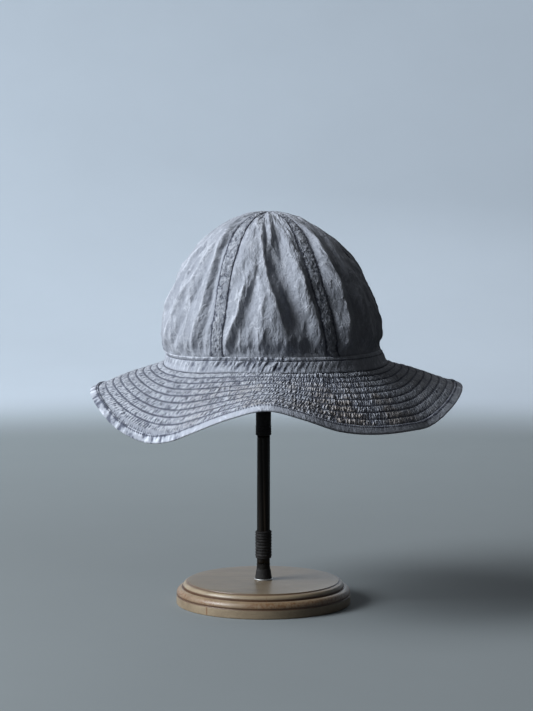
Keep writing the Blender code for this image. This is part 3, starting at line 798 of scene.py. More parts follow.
def make_felled_seam(seam, node, material):
    """A strip with a puckered face that covers a join of two panels."""
    start, end = seam_ends(seam, SEAM_LAP)
    columns = round((end - start) / SEAM_STEP)

    def lay(column, row):
        distance = start + (end - start) * column / columns
        outer = row <= SEAM_ROWS
        back = (row - SEAM_ROWS) / SEAM_UNDER_ROWS
        across = np.where(outer, row / SEAM_ROWS, 1.0 - back) * 2.0 - 1.0
        wall, offset = beside_seam(seam, distance, across)
        lift, wear = seam_lift(across, outer, distance, seam.seed)
        return Cloth(raised(wall, lift), np.stack((offset, distance), axis=-1), wear)

    rows = SEAM_ROWS + SEAM_UNDER_ROWS
    mesh = cloth_mesh("felled_seam_" + seam.name, columns, rows, lay, closed=True)
    link_piece(mesh.name, mesh, material, [node])


# ------------------------------------------------------------------ rings of cloth
def ring_azimuth(column, columns):
    """Spreads columns round the ring from the back, twice as close together at the front."""
    share = column / columns
    swing = np.sin(2.0 * np.pi * share) / (2.0 * np.pi)
    return -180.0 + 360.0 * (share + FRONT_SHARE * swing)


def close_section(lay, rows):
    """Makes the last row of a section its first one again."""
    def closed(column, row):
        return lay(column, np.where(row >= rows, 0.0, row))
    return closed


def needle_holes(azimuth, flat_radius, pitch):
    """1 on each hole of a row, 0 between them."""
    return np.maximum(np.sin(np.radians(azimuth) * flat_radius * math.tau / pitch), 0.0)


def band_face(azimuth, rise):
    """The band's face, by millimetres above its joint with the brim: at BAND_HEIGHT is its
    stitch row, above it the crown. Gives points and outward unit vectors.
    """
    below = np.clip(rise / BAND_HEIGHT, 0.0, 1.0)
    flare = (1.0 - ease(rise / 3.2)) ** 1.6
    radius = BAND_BOTTOM_RADIUS + (BAND_TOP_RADIUS - BAND_BOTTOM_RADIUS) * below
    centre_x = BAND_BOTTOM_X + (BAND_TOP_X - BAND_BOTTOM_X) * below
    sag = SAG_AROUND.read(azimuth)[0]
    edge_point, edge_up = brim_sheet(azimuth, np.full(np.shape(azimuth), BAND_FLARE))
    wall = ring_points(azimuth, radius, centre_x, BAND_BOTTOM + BAND_HEIGHT * below - sag)
    points = wall + (edge_point - wall) * flare[..., None]
    outward = leaning(azimuth, 1.0, 0.0) * (1.0 - flare)[..., None]
    outward += edge_up * flare[..., None]
    travel = np.maximum(rise - BAND_HEIGHT, 0.0)
    crown_points, crown_outward, _ = crown_wall(azimuth, travel)
    joint = crown_wall(azimuth, np.zeros(np.shape(azimuth)))[0]
    fade = 1.0 - ease(travel / BAND_HEM)[..., None]
    crown_points = crown_points + (wall - joint) * fade
    above = (rise > BAND_HEIGHT)[..., None]
    outward = outward / np.linalg.norm(outward, axis=-1, keepdims=True)
    return np.where(above, crown_points, points), np.where(above, crown_outward, outward)


def make_head_band(material):
    """The band between crown and brim, whose upper edge laps over the crown."""
    top = BAND_HEIGHT + BAND_HEM
    rows = BAND_ROWS + BAND_BACK_ROWS + 1

    def lay(column, row):
        azimuth = ring_azimuth(column, BAND_COLUMNS)
        outer = row <= BAND_ROWS
        down = np.clip((row - BAND_ROWS) / BAND_BACK_ROWS, 0.0, 1.0)
        rise = np.where(outer, top * np.minimum(row, BAND_ROWS) / BAND_ROWS,
                        top + (0.9 - top) * down)
        strength = PUCKERS_AROUND.read(azimuth)[0]
        ridges = ripples(BAND_PUCKERS, azimuth, rise)
        from_stitches = np.abs(rise - BAND_HEIGHT)
        body = ease(rise / 2.0) * ease(from_stitches / 1.2)
        groove = np.exp(-(from_stitches / 0.6) ** 2)
        edges = ease(rise / 1.0) * ease((top - rise) / 0.5)
        lift = 0.12 + (BAND_LIFT - BAND_GROOVE * groove) * edges
        lift += BAND_PUCKER * strength * ridges * body
        inner = np.where(rise > BAND_HEIGHT, 0.08, -BAND_WALL * ease(rise / 3.0))
        lift = np.where(outer, np.maximum(lift, inner + 0.1), inner)
        # Pucker ridges paler and the rest darker, most where puckers are strong, and darker along
        # the stitch groove: rubbing with painted highlight and painted shade.
        wear = 0.8 * np.tanh(strength * (1.6 * ridges - 0.8) + 0.45) * body - 0.8 * groove
        # A pale line along the folded top edge: painted highlight.
        wear += 0.7 * np.exp(-((top - rise - 0.4) / 0.4) ** 2)
        flat = np.stack((np.radians(azimuth) * BAND_TOP_RADIUS, rise), axis=-1)
        return Cloth(raised(band_face(azimuth, rise), lift), flat, wear)

    mesh = cloth_mesh("stitched_head_band", BAND_COLUMNS, rows, close_section(lay, rows), True)
    link_piece(mesh.name, mesh, material, ["head_band"])


def make_brim(pucker_depth, material):
    """The quilted brim, one closed ring: its outer edge lies in the fold of the tape."""
    root = QUILT_ROWS[0]
    last = len(QUILT_ROWS) - 1
    counts = np.arange(last * BRIM_STEPS + 1) / BRIM_STEPS
    reaches = np.interp(counts, np.arange(last + 1), QUILT_ROWS)
    reaches = np.concatenate(([0.0, root / 2.0], reaches))
    upper = len(reaches) + BRIM_TAPED_ROWS
    rows = upper + BRIM_UNDER_ROWS

    def lay(column, row):
        azimuth = ring_azimuth(column, BRIM_COLUMNS)
        width = brim_width(azimuth)
        edge = width - TAPE_WALL - GAP
        index = np.minimum(row, upper - 1).astype(int)
        taped = np.clip((index - len(reaches) + 1) / BRIM_TAPED_ROWS, 0.0, 1.0)
        reach = reaches[np.minimum(index, len(reaches) - 1)] + (edge - reaches[-1]) * taped
        under = np.clip((row - upper) / (BRIM_UNDER_ROWS - 1), 0.0, 1.0)
        outer = row < upper
        reach = np.where(outer, reach, edge * (1.0 - under))
        relief = pucker_depth / MM * brim_relief(azimuth, reach)
        relief += ripples(BRIM_UNEVEN, azimuth, reach)
        relief *= ease(reach / root) * ease((edge - reach) / 3.0)
        wall = BRIM_WALL * (0.3 + 0.7 * ease((edge - reach) / 4.0))
        lift = np.where(outer, relief, -wall - 0.5 * relief)
        pucker, warmth = PUCKERS_AROUND.read(azimuth)[[1, 3]]
        warm = warmth * ease((reach - 8.0) / 20.0)
        count = quilt_row(reach) + np.where(outer, 0.0, UNDER_COUNT)
        to_tape = width - BINDING_WIDTH - 0.5 - reach
        holes = needle_holes(azimuth, BRIM_FLAT_RADIUS, HOLE_PITCH)
        # Paler on the rolled strip between the joint and the first row.
        wear = 0.5 * (count < 1.0) * (count > 0.0)
        # Dark dots at the needle holes beside the tape, paler between them: painted shade in the
        # holes.
        wear += (0.25 - 2.2 * holes) * np.exp(-(to_tape / 1.1) ** 2)
        # Darker close to the band where the brim is warm.
        wear -= 0.8 * warmth * np.exp(-np.maximum(reach - 9.0, 0.0) / 8.0) * (count > 1.0)
        flat = np.stack((np.radians(azimuth) * BRIM_FLAT_RADIUS, reach), axis=-1)
        points = raised(brim_sheet(azimuth, reach), lift)
        return Cloth(points, flat, wear, count, pucker, warm)

    mesh = cloth_mesh("quilted_brim", BRIM_COLUMNS, rows, close_section(lay, rows), True)
    link_piece(mesh.name, mesh, material, ["brim"])


def tape_section():
    """Corners of the folded tape: distance from the rim and height, inner edge first. Its
    upper face is flat, its edge thin, and its under face thickens inwards.
    """
    above = GAP + TAPE_WALL
    below = -BRIM_WALL - above
    corners = [(BINDING_WIDTH, GAP + 0.2), (BINDING_WIDTH - 0.4, above)]
    corners += [(BINDING_WIDTH - 0.4 - 6.3 * step / 8.0, above) for step in range(1, 9)]
    corners += [(0.35, above - 0.15), (0.08, above - 0.45), (0.0, above - 0.85)]
    corners += [(0.15, 0.0), (0.6, -0.5), (1.4, -1.0), (2.6, -1.6), (4.0, -2.2), (5.2, below)]
    corners += [(6.2, below), (BINDING_WIDTH - 0.3, below), (BINDING_WIDTH, below + 0.7)]
    corners += [(TAPE_WALL + GAP, -0.75), (TAPE_WALL, -0.1), (TAPE_WALL + GAP, 0.15)]
    return corners


def make_binding(material):
    """The tape folded over the brim's edge, puckered on the left, with one stitch row."""
    corners = np.array(tape_section())
    rows = len(corners)

    def lay(column, row):
        azimuth = ring_azimuth(column, BRIM_COLUMNS)
        from_rim, height = corners[(row % rows).astype(int)].T
        strength = PUCKERS_AROUND.read(azimuth)[2]
        ridges = ripples(TAPE_PUCKERS, azimuth, from_rim)
        face = (height > GAP + 0.5) | (height < -1.5)
        stitched = np.exp(-((from_rim - BINDING_WIDTH + TAPE_STITCH) / 0.8) ** 2)
        puff = TAPE_PUFF * strength * ridges * (1.0 - stitched) - 0.1 * stitched
        puff = np.maximum(puff, -0.6) * ease(from_rim / 2.0)
        outward = np.where(height > -0.4, 1.0, -1.0)
        lift = height + np.where(face, puff * outward, 0.0)
        edge = 0.25 * strength * ripple(azimuth / 360.0 * 260, 3.3, 43, 260)
        edge *= np.maximum(3.0 - from_rim, 0.0) / 3.0
        holes = needle_holes(azimuth, TAPE_FLAT_RADIUS, TAPE_HOLE_PITCH)
        # Pucker ridges paler and troughs darker, from rubbing and as painted highlight and shade;
        # darker along the stitch row and its needle holes as painted shade.
        wear = 1.1 * np.tanh(strength * (1.8 * ridges - 0.3)) - stitched * (0.4 + 2.6 * holes)
        flat = np.stack((np.radians(azimuth) * TAPE_FLAT_RADIUS, from_rim * outward), axis=-1)
        sheet = brim_sheet(azimuth, brim_width(azimuth) - from_rim + edge)
        return Cloth(raised(sheet, lift), flat, wear)

    mesh = cloth_mesh("folded_edge_tape", BRIM_COLUMNS, rows, lay, closed=True)
    link_piece(mesh.name, mesh, material, ["brim_binding"])


# ------------------------------------------------------------------ stitches
Row = namedtuple("Row", "points outward")


def stitch_shape():
    """Corners and triangles of one stitch of unit size, lying along X."""
    work = bmesh.new()
    bmesh.ops.create_icosphere(work, subdivisions=1, radius=1.0)
    corners = np.array([vert.co[:] for vert in work.verts])
    faces = np.array([[vert.index for vert in face.verts] for face in work.faces])
    work.free()
    return corners, faces


def along_path(travel, values, distance):
    """A path's values at distances run along it."""
    return np.stack([np.interp(distance, travel, values[:, axis]) for axis in range(3)], -1)


def sew(name, rows, settings, material, pitch_share=1.0, length_share=0.38,
        width_share=1.0):
    """Lays a stitch every pitch along each row, as one joined mesh."""
    corners, faces = stitch_shape()
    pitch = pitch_share * settings.stitch_pitch
    half_length = length_share * pitch
    half_width = width_share * settings.thread_width / 2.0
    all_corners = []
    for row in rows:
        steps = np.linalg.norm(np.diff(row.points, axis=0), axis=1)
        travel = np.concatenate(([0.0], np.cumsum(steps)))
        middles = (np.arange(int(travel[-1] / pitch)) + 0.5) * pitch
        along = along_path(travel, row.points, middles + half_length)
        along -= along_path(travel, row.points, middles - half_length)
        along /= np.linalg.norm(along, axis=1, keepdims=True)
        side = np.cross(along_path(travel, row.outward, middles), along)
        side /= np.linalg.norm(side, axis=1, keepdims=True)
        laid = along_path(travel, row.points, middles)[:, None, :]
        for axis, reach in enumerate((along * half_length, side * half_width,
                                      np.cross(along, side) * half_width)):
            laid = laid + corners[None, :, axis, None] * reach[:, None, :]
        all_corners.append(laid.reshape(-1, 3))
    points = np.concatenate(all_corners)
    offsets = np.arange(len(points) // len(corners))[:, None, None] * len(corners)
    mesh = bpy.data.meshes.new(name)
    mesh.from_pydata(points, [], (faces[None] + offsets).reshape(-1, 3))
    link_piece(name, mesh, material, [])


def sewn_row(surface, lift):
    """A stitch row over a surface, which is its points and unit vectors."""
    return Row(raised(surface, lift), surface[1])


def seam_rows():
    """Both stitch rows of every felled seam."""
    rows = []
    for seam in FELLED_SEAMS:
        distance = np.linspace(*seam_ends(seam, 0.0), 600 if seam is OVER_TIP else 300)
        for side in (-1.0, 1.0):
            rows.append(sewn_row(beside_seam(seam, distance, side, SEAM_STITCH)[0], SEAM_THREAD))
    return rows


def band_rows():
    azimuth = np.linspace(-180.0, 180.0, 1200)
    return [sewn_row(band_face(azimuth, np.full(azimuth.shape, BAND_HEIGHT)), BAND_THREAD)]


def brim_rows(lift):
    """The brim's rows but the first and the last, which band and tape cover."""
    azimuth = np.linspace(-180.0, 180.0, 1600)
    return [sewn_row(brim_sheet(azimuth, np.full(azimuth.shape, reach)), lift)
            for reach in QUILT_ROWS[1:-1]]


def binding_rows():
    azimuth = np.linspace(-180.0, 180.0, 1600)
    sheet = brim_sheet(azimuth, brim_width(azimuth) - BINDING_WIDTH + TAPE_STITCH)
    return [sewn_row(sheet, TAPE_THREAD), sewn_row(sheet, -BRIM_WALL - TAPE_THREAD)]


# ------------------------------------------------------------------ turned work
def spin_profile(name, profile, steps):
    """A profile of (radius, height) turned round the post's axis."""
    work = bmesh.new()
    corners = [work.verts.new((radius * MM, 0.0, height * MM)) for radius, height in profile]
    edges = [work.edges.new(pair) for pair in zip(corners, corners[1:])]
    bmesh.ops.spin(work, geom=corners + edges, cent=(0, 0, 0), axis=(0, 0, 1),
                   angle=math.tau, steps=steps, use_merge=True, use_duplicate=False)
    bmesh.ops.remove_doubles(work, verts=work.verts, dist=0.002 * MM)
    bmesh.ops.recalc_face_normals(work, faces=work.faces)
    return to_mesh(name, work)


def arc(centre_radius, centre_height, size, start, end, count):
    """Corners of a round stretch of a profile, from one angle to another."""
    angles = np.radians(np.linspace(start, end, count + 1))
    return [(centre_radius + size * math.cos(angle), centre_height + size * math.sin(angle))
            for angle in angles]


def reshape(mesh, move):
    """Moves every corner. move takes their turns round the axis, radii and heights in
    millimetres, and gives a share of the radius and a height.
    """
    points = corners_of(mesh).astype(float) / MM
    turn = np.arctan2(points[:, 1], points[:, 0])
    share, height = move(turn, np.hypot(points[:, 0], points[:, 1]), points[:, 2])
    points[:, :2] *= share[:, None]
    points[:, 2] = height
    move_corners(mesh, points * MM)
    mesh.update()


def make_base(material):
    """Turned wooden base: flat top, ovolo, groove, bead and a plain side."""
    edge = BASE_EDGE
    top = [(0.0, BASE_HEIGHT)] + [(radius, BASE_HEIGHT) for radius in range(8, 64, 8)]
    top += arc(BASE_TOP_RADIUS - edge, BASE_HEIGHT - edge, edge, 90.0, 0.0, 4)
    top.append((BASE_STEP_RADIUS, BASE_STEP_HEIGHT - 0.1))
    ovolo = arc(BASE_STEP_RADIUS, OVOLO_HEIGHT, OVOLO_SIZE, 80.0, 0.0, 9)
    bead = arc(BEAD_RADIUS, BEAD_HEIGHT, BEAD_SIZE, 98.0, -8.0, 14)
    side = arc(BASE_RADIUS - edge, BASE_SIDE_TOP - edge, edge, 90.0, 0.0, 4)
    side += [(BASE_RADIUS, height) for height in (6.0, 4.0, 2.0)]
    side += arc(BASE_RADIUS - 0.6, 0.6, 0.6, 0.0, -90.0, 4)
    profile = top + ovolo + bead + side + [(40.0, 0.0), (0.0, 0.0)]
    mesh = spin_profile("turned_base", profile, 192)
    link_piece("turned_base", mesh, material, ["stand_base"])
    mesh.set_sharp_from_angle(angle=math.radians(50.0))


def make_washer(material):
    """A thin ring under the post, with round edges."""
    bottom = BASE_HEIGHT + GAP
    top = bottom + WASHER_HEIGHT
    rim = WASHER_RADIUS - WASHER_EDGE
    profile = [(0.0, top)] + arc(rim, top - WASHER_EDGE, WASHER_EDGE, 90.0, 0.0, 3)
    profile += arc(rim, bottom + WASHER_EDGE, WASHER_EDGE, 0.0, -90.0, 3) + [(0.0, bottom)]
    mesh = spin_profile("bright_ring", profile, 64)
    link_piece("bright_ring", mesh, material, ["foot_washer"])


def make_foot(material):
    """The post's flared foot in two layers of tape, the upper one torn off near the top."""
    bottom = BASE_HEIGHT + GAP + WASHER_HEIGHT + GAP
    flare = FOOT_BOTTOM_RADIUS - FOOT_TOP_RADIUS
    profile = [(0.0, FOOT_TOP)]
    for height in np.linspace(FOOT_TOP, bottom, 40):
        down = (FOOT_TOP - height) / (FOOT_TOP - bottom)
        profile.append((FOOT_TOP_RADIUS + flare * down ** 1.6, height))
    profile.append((0.0, bottom))
    mesh = spin_profile("wrapped_foot", profile, 96)

    def wrap(turn, radius, height):
        down = (FOOT_TOP - height) / (FOOT_TOP - bottom)
        lap = ripple(turn / math.tau * 9 + 20.0, height / 2.6, 51, 9) * 0.35
        torn = 4.5 + 1.6 * ripple(turn / math.tau * 7 + 10.0, turn * 0.0, 52, 7)
        layer = FOOT_LAYER * (height < FOOT_TOP - torn)
        shrink = (lap - 0.15 + layer) * ease(radius / 4.0) * ease(down * 12.0 + 0.3)
        return 1.0 + np.minimum(shrink, 0.0) / np.maximum(radius, 1.0), height

    reshape(mesh, wrap)
    link_piece("wrapped_foot", mesh, material, ["post_foot"])


def make_collar(material):
    """Tape wound round the rod in many turns."""
    profile = [(SHAFT_RADIUS + GAP, COLLAR_TOP)]
    for step in range(COLLAR_STEPS + 1):
        height = COLLAR_TOP - (COLLAR_TOP - COLLAR_BOTTOM) * step / COLLAR_STEPS
        wound = abs(math.sin(math.pi * (COLLAR_TOP - height) / WRAP_PITCH))
        end = min(1.0, min(step, COLLAR_STEPS - step) / 5.0)
        radius = COLLAR_RADIUS - 0.4 * (1.0 - end) - WRAP_DEPTH * (1.0 - wound)
        profile.append((radius, height))
    profile.append((SHAFT_RADIUS + GAP, COLLAR_BOTTOM))
    profile.append(profile[0])
    mesh = spin_profile("wrapped_collar", profile, 64)

    def wrap(turn, radius, height):
        uneven = ripple(turn / math.tau * 8 + 10.0, height / 2.2, 53, 8)
        return 1.0 - 0.012 * np.abs(uneven), height + 0.25 * uneven

    reshape(mesh, wrap)
    link_piece("wrapped_collar", mesh, material, ["post_collar"])


def make_shaft(material):
    """A bundle of rods: a round bar with flutes that wind slowly."""
    top = SLEEVE_BOTTOM - GAP
    bottom = FOOT_TOP + GAP
    profile = [(SHAFT_RADIUS, height) for height in np.linspace(top, bottom, SHAFT_LEVELS + 1)]
    mesh = spin_profile("bundled_shaft", [(0.0, top)] + profile + [(0.0, bottom)], 80)

    def flute(turn, radius, height):
        around = turn + 0.004 * (height - 90.0) + 0.35
        groove = (1.0 - np.abs(np.sin(FLUTE_COUNT * around / 2.0))) ** 2.2
        return 1.0 - FLUTE_DEPTH * groove / SHAFT_RADIUS, height

    reshape(mesh, flute)
    link_piece("bundled_shaft", mesh, material, ["post_shaft"])


def make_rest(material):
    """The post's upper sleeve, with its ring, and the dome under the crown's tip."""
    dome_end = math.degrees(math.acos(REST_RIM_RADIUS / REST_DOME_RADIUS))
    dome = arc(0.0, REST_TOP - REST_DOME_RADIUS, REST_DOME_RADIUS, 90.0, dome_end, 24)
    dome[0] = (0.0, REST_TOP)
    rim = dome[-1][1]
    under = arc(REST_RIM_RADIUS - REST_RIM_EDGE, rim - 1.6, REST_RIM_EDGE, 0.0, -80.0, 5)
    under += [(15.0, rim - 7.0), (9.0, rim - 9.0), (SLEEVE_RADIUS - 0.3, rim - 11.5)]
    sleeve = [(SLEEVE_RADIUS - 0.1, height) for height in range(int(rim) - 16, 158, -8)]
    ring = []
    for height in np.linspace(SLEEVE_RING_TOP, SLEEVE_BOTTOM + 0.5, 40):
        rib = 0.3 * abs(math.sin(math.pi * (height - SLEEVE_BOTTOM) / SLEEVE_RIB_PITCH))
        ring.append((SLEEVE_RADIUS - 0.15 + rib * (height < SLEEVE_RIB_TOP), height))
    foot = [(SLEEVE_RADIUS - 0.5, SLEEVE_BOTTOM), (0.0, SLEEVE_BOTTOM)]
    mesh = spin_profile("sleeve_and_rest", dome + under + sleeve + ring + foot, 64)
    link_piece("sleeve_and_rest", mesh, material, ["hat_rest"])


# ------------------------------------------------------------------ materials
class Value:
    """A shader socket that takes part in sums."""

    def __init__(self, finish, socket):
        self.finish = finish
        self.socket = socket

    def maths(self, operation, first, second):
        return self.finish.node("Math", {"operation": operation}, {0: first, 1: second})

    def __add__(self, other):
        return self.maths("ADD", self, other)

    __radd__ = __add__

    def __sub__(self, other):
        return self.maths("SUBTRACT", self, other)

    def __rsub__(self, other):
        return self.maths("SUBTRACT", other, self)

    def __mul__(self, other):
        return self.maths("MULTIPLY", self, other)

    def __pow__(self, other):
        return self.maths("POWER", self, other)

    def through(self, operation):
        """Its sine, whole part or another function of the one number."""
        return self.finish.node("Math", {"operation": operation}, {0: self})


class Finish:
    """A material whose nodes are added by name, from values for its shader's sockets."""

    def __init__(self, name, shader_values):
        self.material = bpy.data.materials.new(name)
        self.material.use_nodes = True
        self.nodes = self.material.node_tree.nodes
        self.links = self.material.node_tree.links
        self.shader = self.nodes["Principled BSDF"]
        for socket, value in shader_values.items():
            self.shader.inputs[socket].default_value = value

    def node(self, kind, settings=None, inputs=None, output=0):
        """Adds a node, sets it up, feeds its sockets and gives one of its outputs."""
        made = self.nodes.new("ShaderNode" + kind)
        for name, value in (settings or {}).items():
            setattr(made, name, value)
        for key, value in (inputs or {}).items():
            self.feed(made.inputs[key], value)
        return Value(self, made.outputs[output])

    def feed(self, socket, value):
        if isinstance(value, Value):
            self.links.new(value.socket, socket)
        elif isinstance(value, (tuple, list)) and socket.type == "RGBA" and len(value) == 3:
            socket.default_value = (*value, 1.0)
        else:
            socket.default_value = value

    def where(self):
        """The place on the object, in metres."""
        return self.node("TexCoord", output="Object")

    def axis(self, vector, name):
        return self.node("SeparateXYZ", None, {0: vector}, name)

    def attribute(self, name):
        return self.node("Attribute", {"attribute_name": name}, None, "Fac")

    def mix(self, factor, first, second):
        """A colour between two others."""
        settings = {"data_type": "RGBA", "blend_type": "MIX"}
        return self.node("Mix", settings, {0: factor, 6: first, 7: second}, output=2)

    def tint(self, colour, amount):
        """A colour made lighter or darker by a number."""
        grey = self.node("CombineColor", None, {0: amount, 1: amount, 2: amount})
        settings = {"data_type": "RGBA", "blend_type": "MULTIPLY"}
        return self.node("Mix", settings, {0: 1.0, 6: colour, 7: grey}, output=2)

    def noise(self, vector, scale, detail=3.0, roughness=0.5):
        inputs = {"Vector": vector, "Scale": scale, "Detail": detail, "Roughness": roughness}
        return self.node("TexNoise", None, inputs)

    def stretched(self, vector, scale):
        """A vector scaled by axis, so that a pattern is drawn out along one of them."""
        return self.node("Mapping", None, {"Vector": vector, "Scale": scale})

    def drawn_noise(self, vector, scale, detail=3.0, roughness=0.5):
        """Noise with a scale of its own along each axis."""
        return self.noise(self.stretched(vector, scale), 1.0, detail, roughness)

    def crease_lines(self, vector, scale):
        """Height of crumpled cloth: 0 along sharp creases, and smooth between them."""
        return (self.drawn_noise(vector, scale, 2.0) - 0.5).through("ABSOLUTE") * 2.0

    def crease_web(self, vector):
        """1 along the sharp lines of a web of creases, 0 beside them."""
        inputs = {"Vector": vector, "Scale": 1.3, "Detail": 2.0}
        warp = self.node("TexNoise", None, inputs, "Color")
        warp = self.node("VectorMath", {"operation": "SCALE"}, {0: warp, "Scale": 1.4})
        vector = self.node("VectorMath", {"operation": "ADD"}, {0: vector, 1: warp})
        inputs = {"Vector": vector, "Scale": 1.0}
        edge = self.node("TexVoronoi", {"feature": "DISTANCE_TO_EDGE"}, inputs)
        return 1.0 - self.smooth_step(edge, 0.0, 0.07)

    def smooth_step(self, value, low, high):
        """0 below low, 1 above high."""
        settings = {"interpolation_type": "SMOOTHSTEP"}
        return self.node("MapRange", settings, {"Value": value, "From Min": low, "From Max": high})

    def between(self, value, low, high):
        """1 between two values, and 0 outside them, with short steps."""
        step = (high - low) * 0.2
        above = self.smooth_step(value, low - step, low + step)
        return above * (1.0 - self.smooth_step(value, high - step, high + step))

    def bump(self, height, distance, strength=1.0):
        inputs = {"Height": height, "Distance": distance, "Strength": strength}
        return self.node("Bump", None, inputs)

    def finish(self, colour=None, roughness=None, normal=None):
        for name, value in (("Base Color", colour), ("Roughness", roughness), ("Normal", normal)):
            if value is not None:
                self.feed(self.shader.inputs[name], value)
        return self.material


def cotton(name, colours, lightness=1.0, crumple=1.0, quilted=False):
    """Washed plain-weave cotton. It is pale on ridges, from rubbing and as painted highlight,
    and dark in grooves, from dye and as painted shade; crumple is the height of its finest
    creases. Quilted cotton is puckered across the spaces between its stitch rows.
    """
    made = Finish(name, {"Roughness": 0.92, "Specular IOR Level": 0.15, "Sheen Weight": 0.10,
                         "Sheen Roughness": 0.5})
    flat = made.node("UVMap", {"uv_map": "cloth"})
    where = made.where()
    slubs = made.drawn_noise(flat, (110.0, 900.0, 1.0), 2.0, 0.6)
    slubs = slubs + made.drawn_noise(flat, (900.0, 110.0, 1.0), 2.0, 0.6)
    mottle = made.noise(where, 330.0, 4.0, 0.65)
    cloud = made.noise(where, 22.0, 3.0, 0.5)
    broad = made.crease_lines(flat, (200.0, 110.0, 1.0))
    narrow = made.crease_lines(flat, (520.0, 330.0, 1.0))
    soft = made.drawn_noise(flat, (165.0, 62.0, 1.0), 3.0, 0.55) - 0.5
    web = made.crease_web(made.stretched(flat, (95.0, 48.0, 1.0)))
    web = web * made.smooth_step(made.noise(where, 55.0, 2.0), 0.42, 0.60) * crumple
    height = broad * (0.8 * crumple) + narrow * (0.5 * crumple) + slubs * 0.05 + mottle * 0.08
    height = height + web * 0.25 + soft * 1.1
    rubbed = 0.26 - (broad + narrow) * 0.5
    # Pale and dark from the sewn-in pattern, with the raised web and soft bumps paler and their
    # hollows darker: rubbing and dye with painted highlight and painted shade.
    worn = made.attribute("wear") + (mottle - 0.5) + rubbed * (1.1 * crumple) + web * 0.5
    worn = worn + soft * 1.4
    if quilted:
        strokes, groove = quilting(made, flat)
        height = height + strokes * 2.2
        # Raised puckers paler and troughs darker, from rubbing and as painted highlight and shade;
        # painted shade along the stitch rows.
        worn = worn + strokes * 7.0 - groove
    # The worn colour on the pale side and the deep colour on the dark side are partly painted
    # highlight and painted shade.
    paler = made.smooth_step(worn, 0.1, 0.9)
    deeper = 1.0 - made.smooth_step(worn, -0.9, -0.1)
    colour = made.mix(paler, colours["cloth"], colours["worn"])
    colour = made.mix(deeper * 0.9, colour, colours["deep"])
    if quilted:
        patch = made.smooth_step(made.noise(where, 40.0, 3.0, 0.6), 0.40, 0.60)
        patch = made.attribute("warm") * patch * (0.85 - deeper * 0.7)
        colour = made.mix(patch, colour, made.tint(colours["warm"], 0.6 + paler))
    shading = slubs * 0.16 + cloud * 0.3
    mean_shading = 0.31
    colour = made.tint(colour, (shading + (1.0 - mean_shading)) * lightness)
    return made.finish(colour, None, made.bump(height, 0.001))


def quilting(made, flat):
    """Short puckers across the spaces between stitch rows, each row with its own, and the
    painted shade of the groove along every row.
    """
    row = made.attribute("row")
    pucker = made.attribute("pucker")
    u = made.axis(flat, "X")
    v = made.axis(flat, "Y")
    count = row.through("FLOOR")
    between = row - count
    body = between * (1.0 - between) * 4.0
    side = (u + v * 0.35) * 720.0
    place = made.node("CombineXYZ", None, {0: side, 1: v * 300.0, 2: count * 7.31})
    strokes = made.noise(place, 1.0, 2.0) - 0.5
    swept = made.drawn_noise(flat, (60.0, 60.0, 1.0), 1.0) * 16.0
    strokes = strokes + (side * 4.0 + count * 2.4 + swept).through("SINE") * 0.10
    strokes = strokes * made.smooth_step(body, 0.1, 0.8) * pucker
    # Painted shade along every stitch row, dotted along its stitches and fainter at the rows by the
    # tape.
    groove = 1.0 - made.smooth_step(body, 0.16, 0.6)
    dots = (u * 2600.0 + v * 400.0).through("SINE")
    at_tape = made.smooth_step(row, 8.5, 8.8) - made.smooth_step(row, 12.0, 13.0)
    groove = groove * (0.55 + pucker * 0.3 + dots * 0.45) * (1.0 - at_tape * 0.85)
    return strokes, groove * 1.9


def thread_finish(name, colour):
    made = Finish(name, {"Roughness": 0.8, "Sheen Weight": 0.1})
    shade = made.noise(made.where(), 900.0, 2.0)
    return made.finish(made.tint(colour, 0.6 + shade * 0.8), None, made.bump(shade, 0.0001))


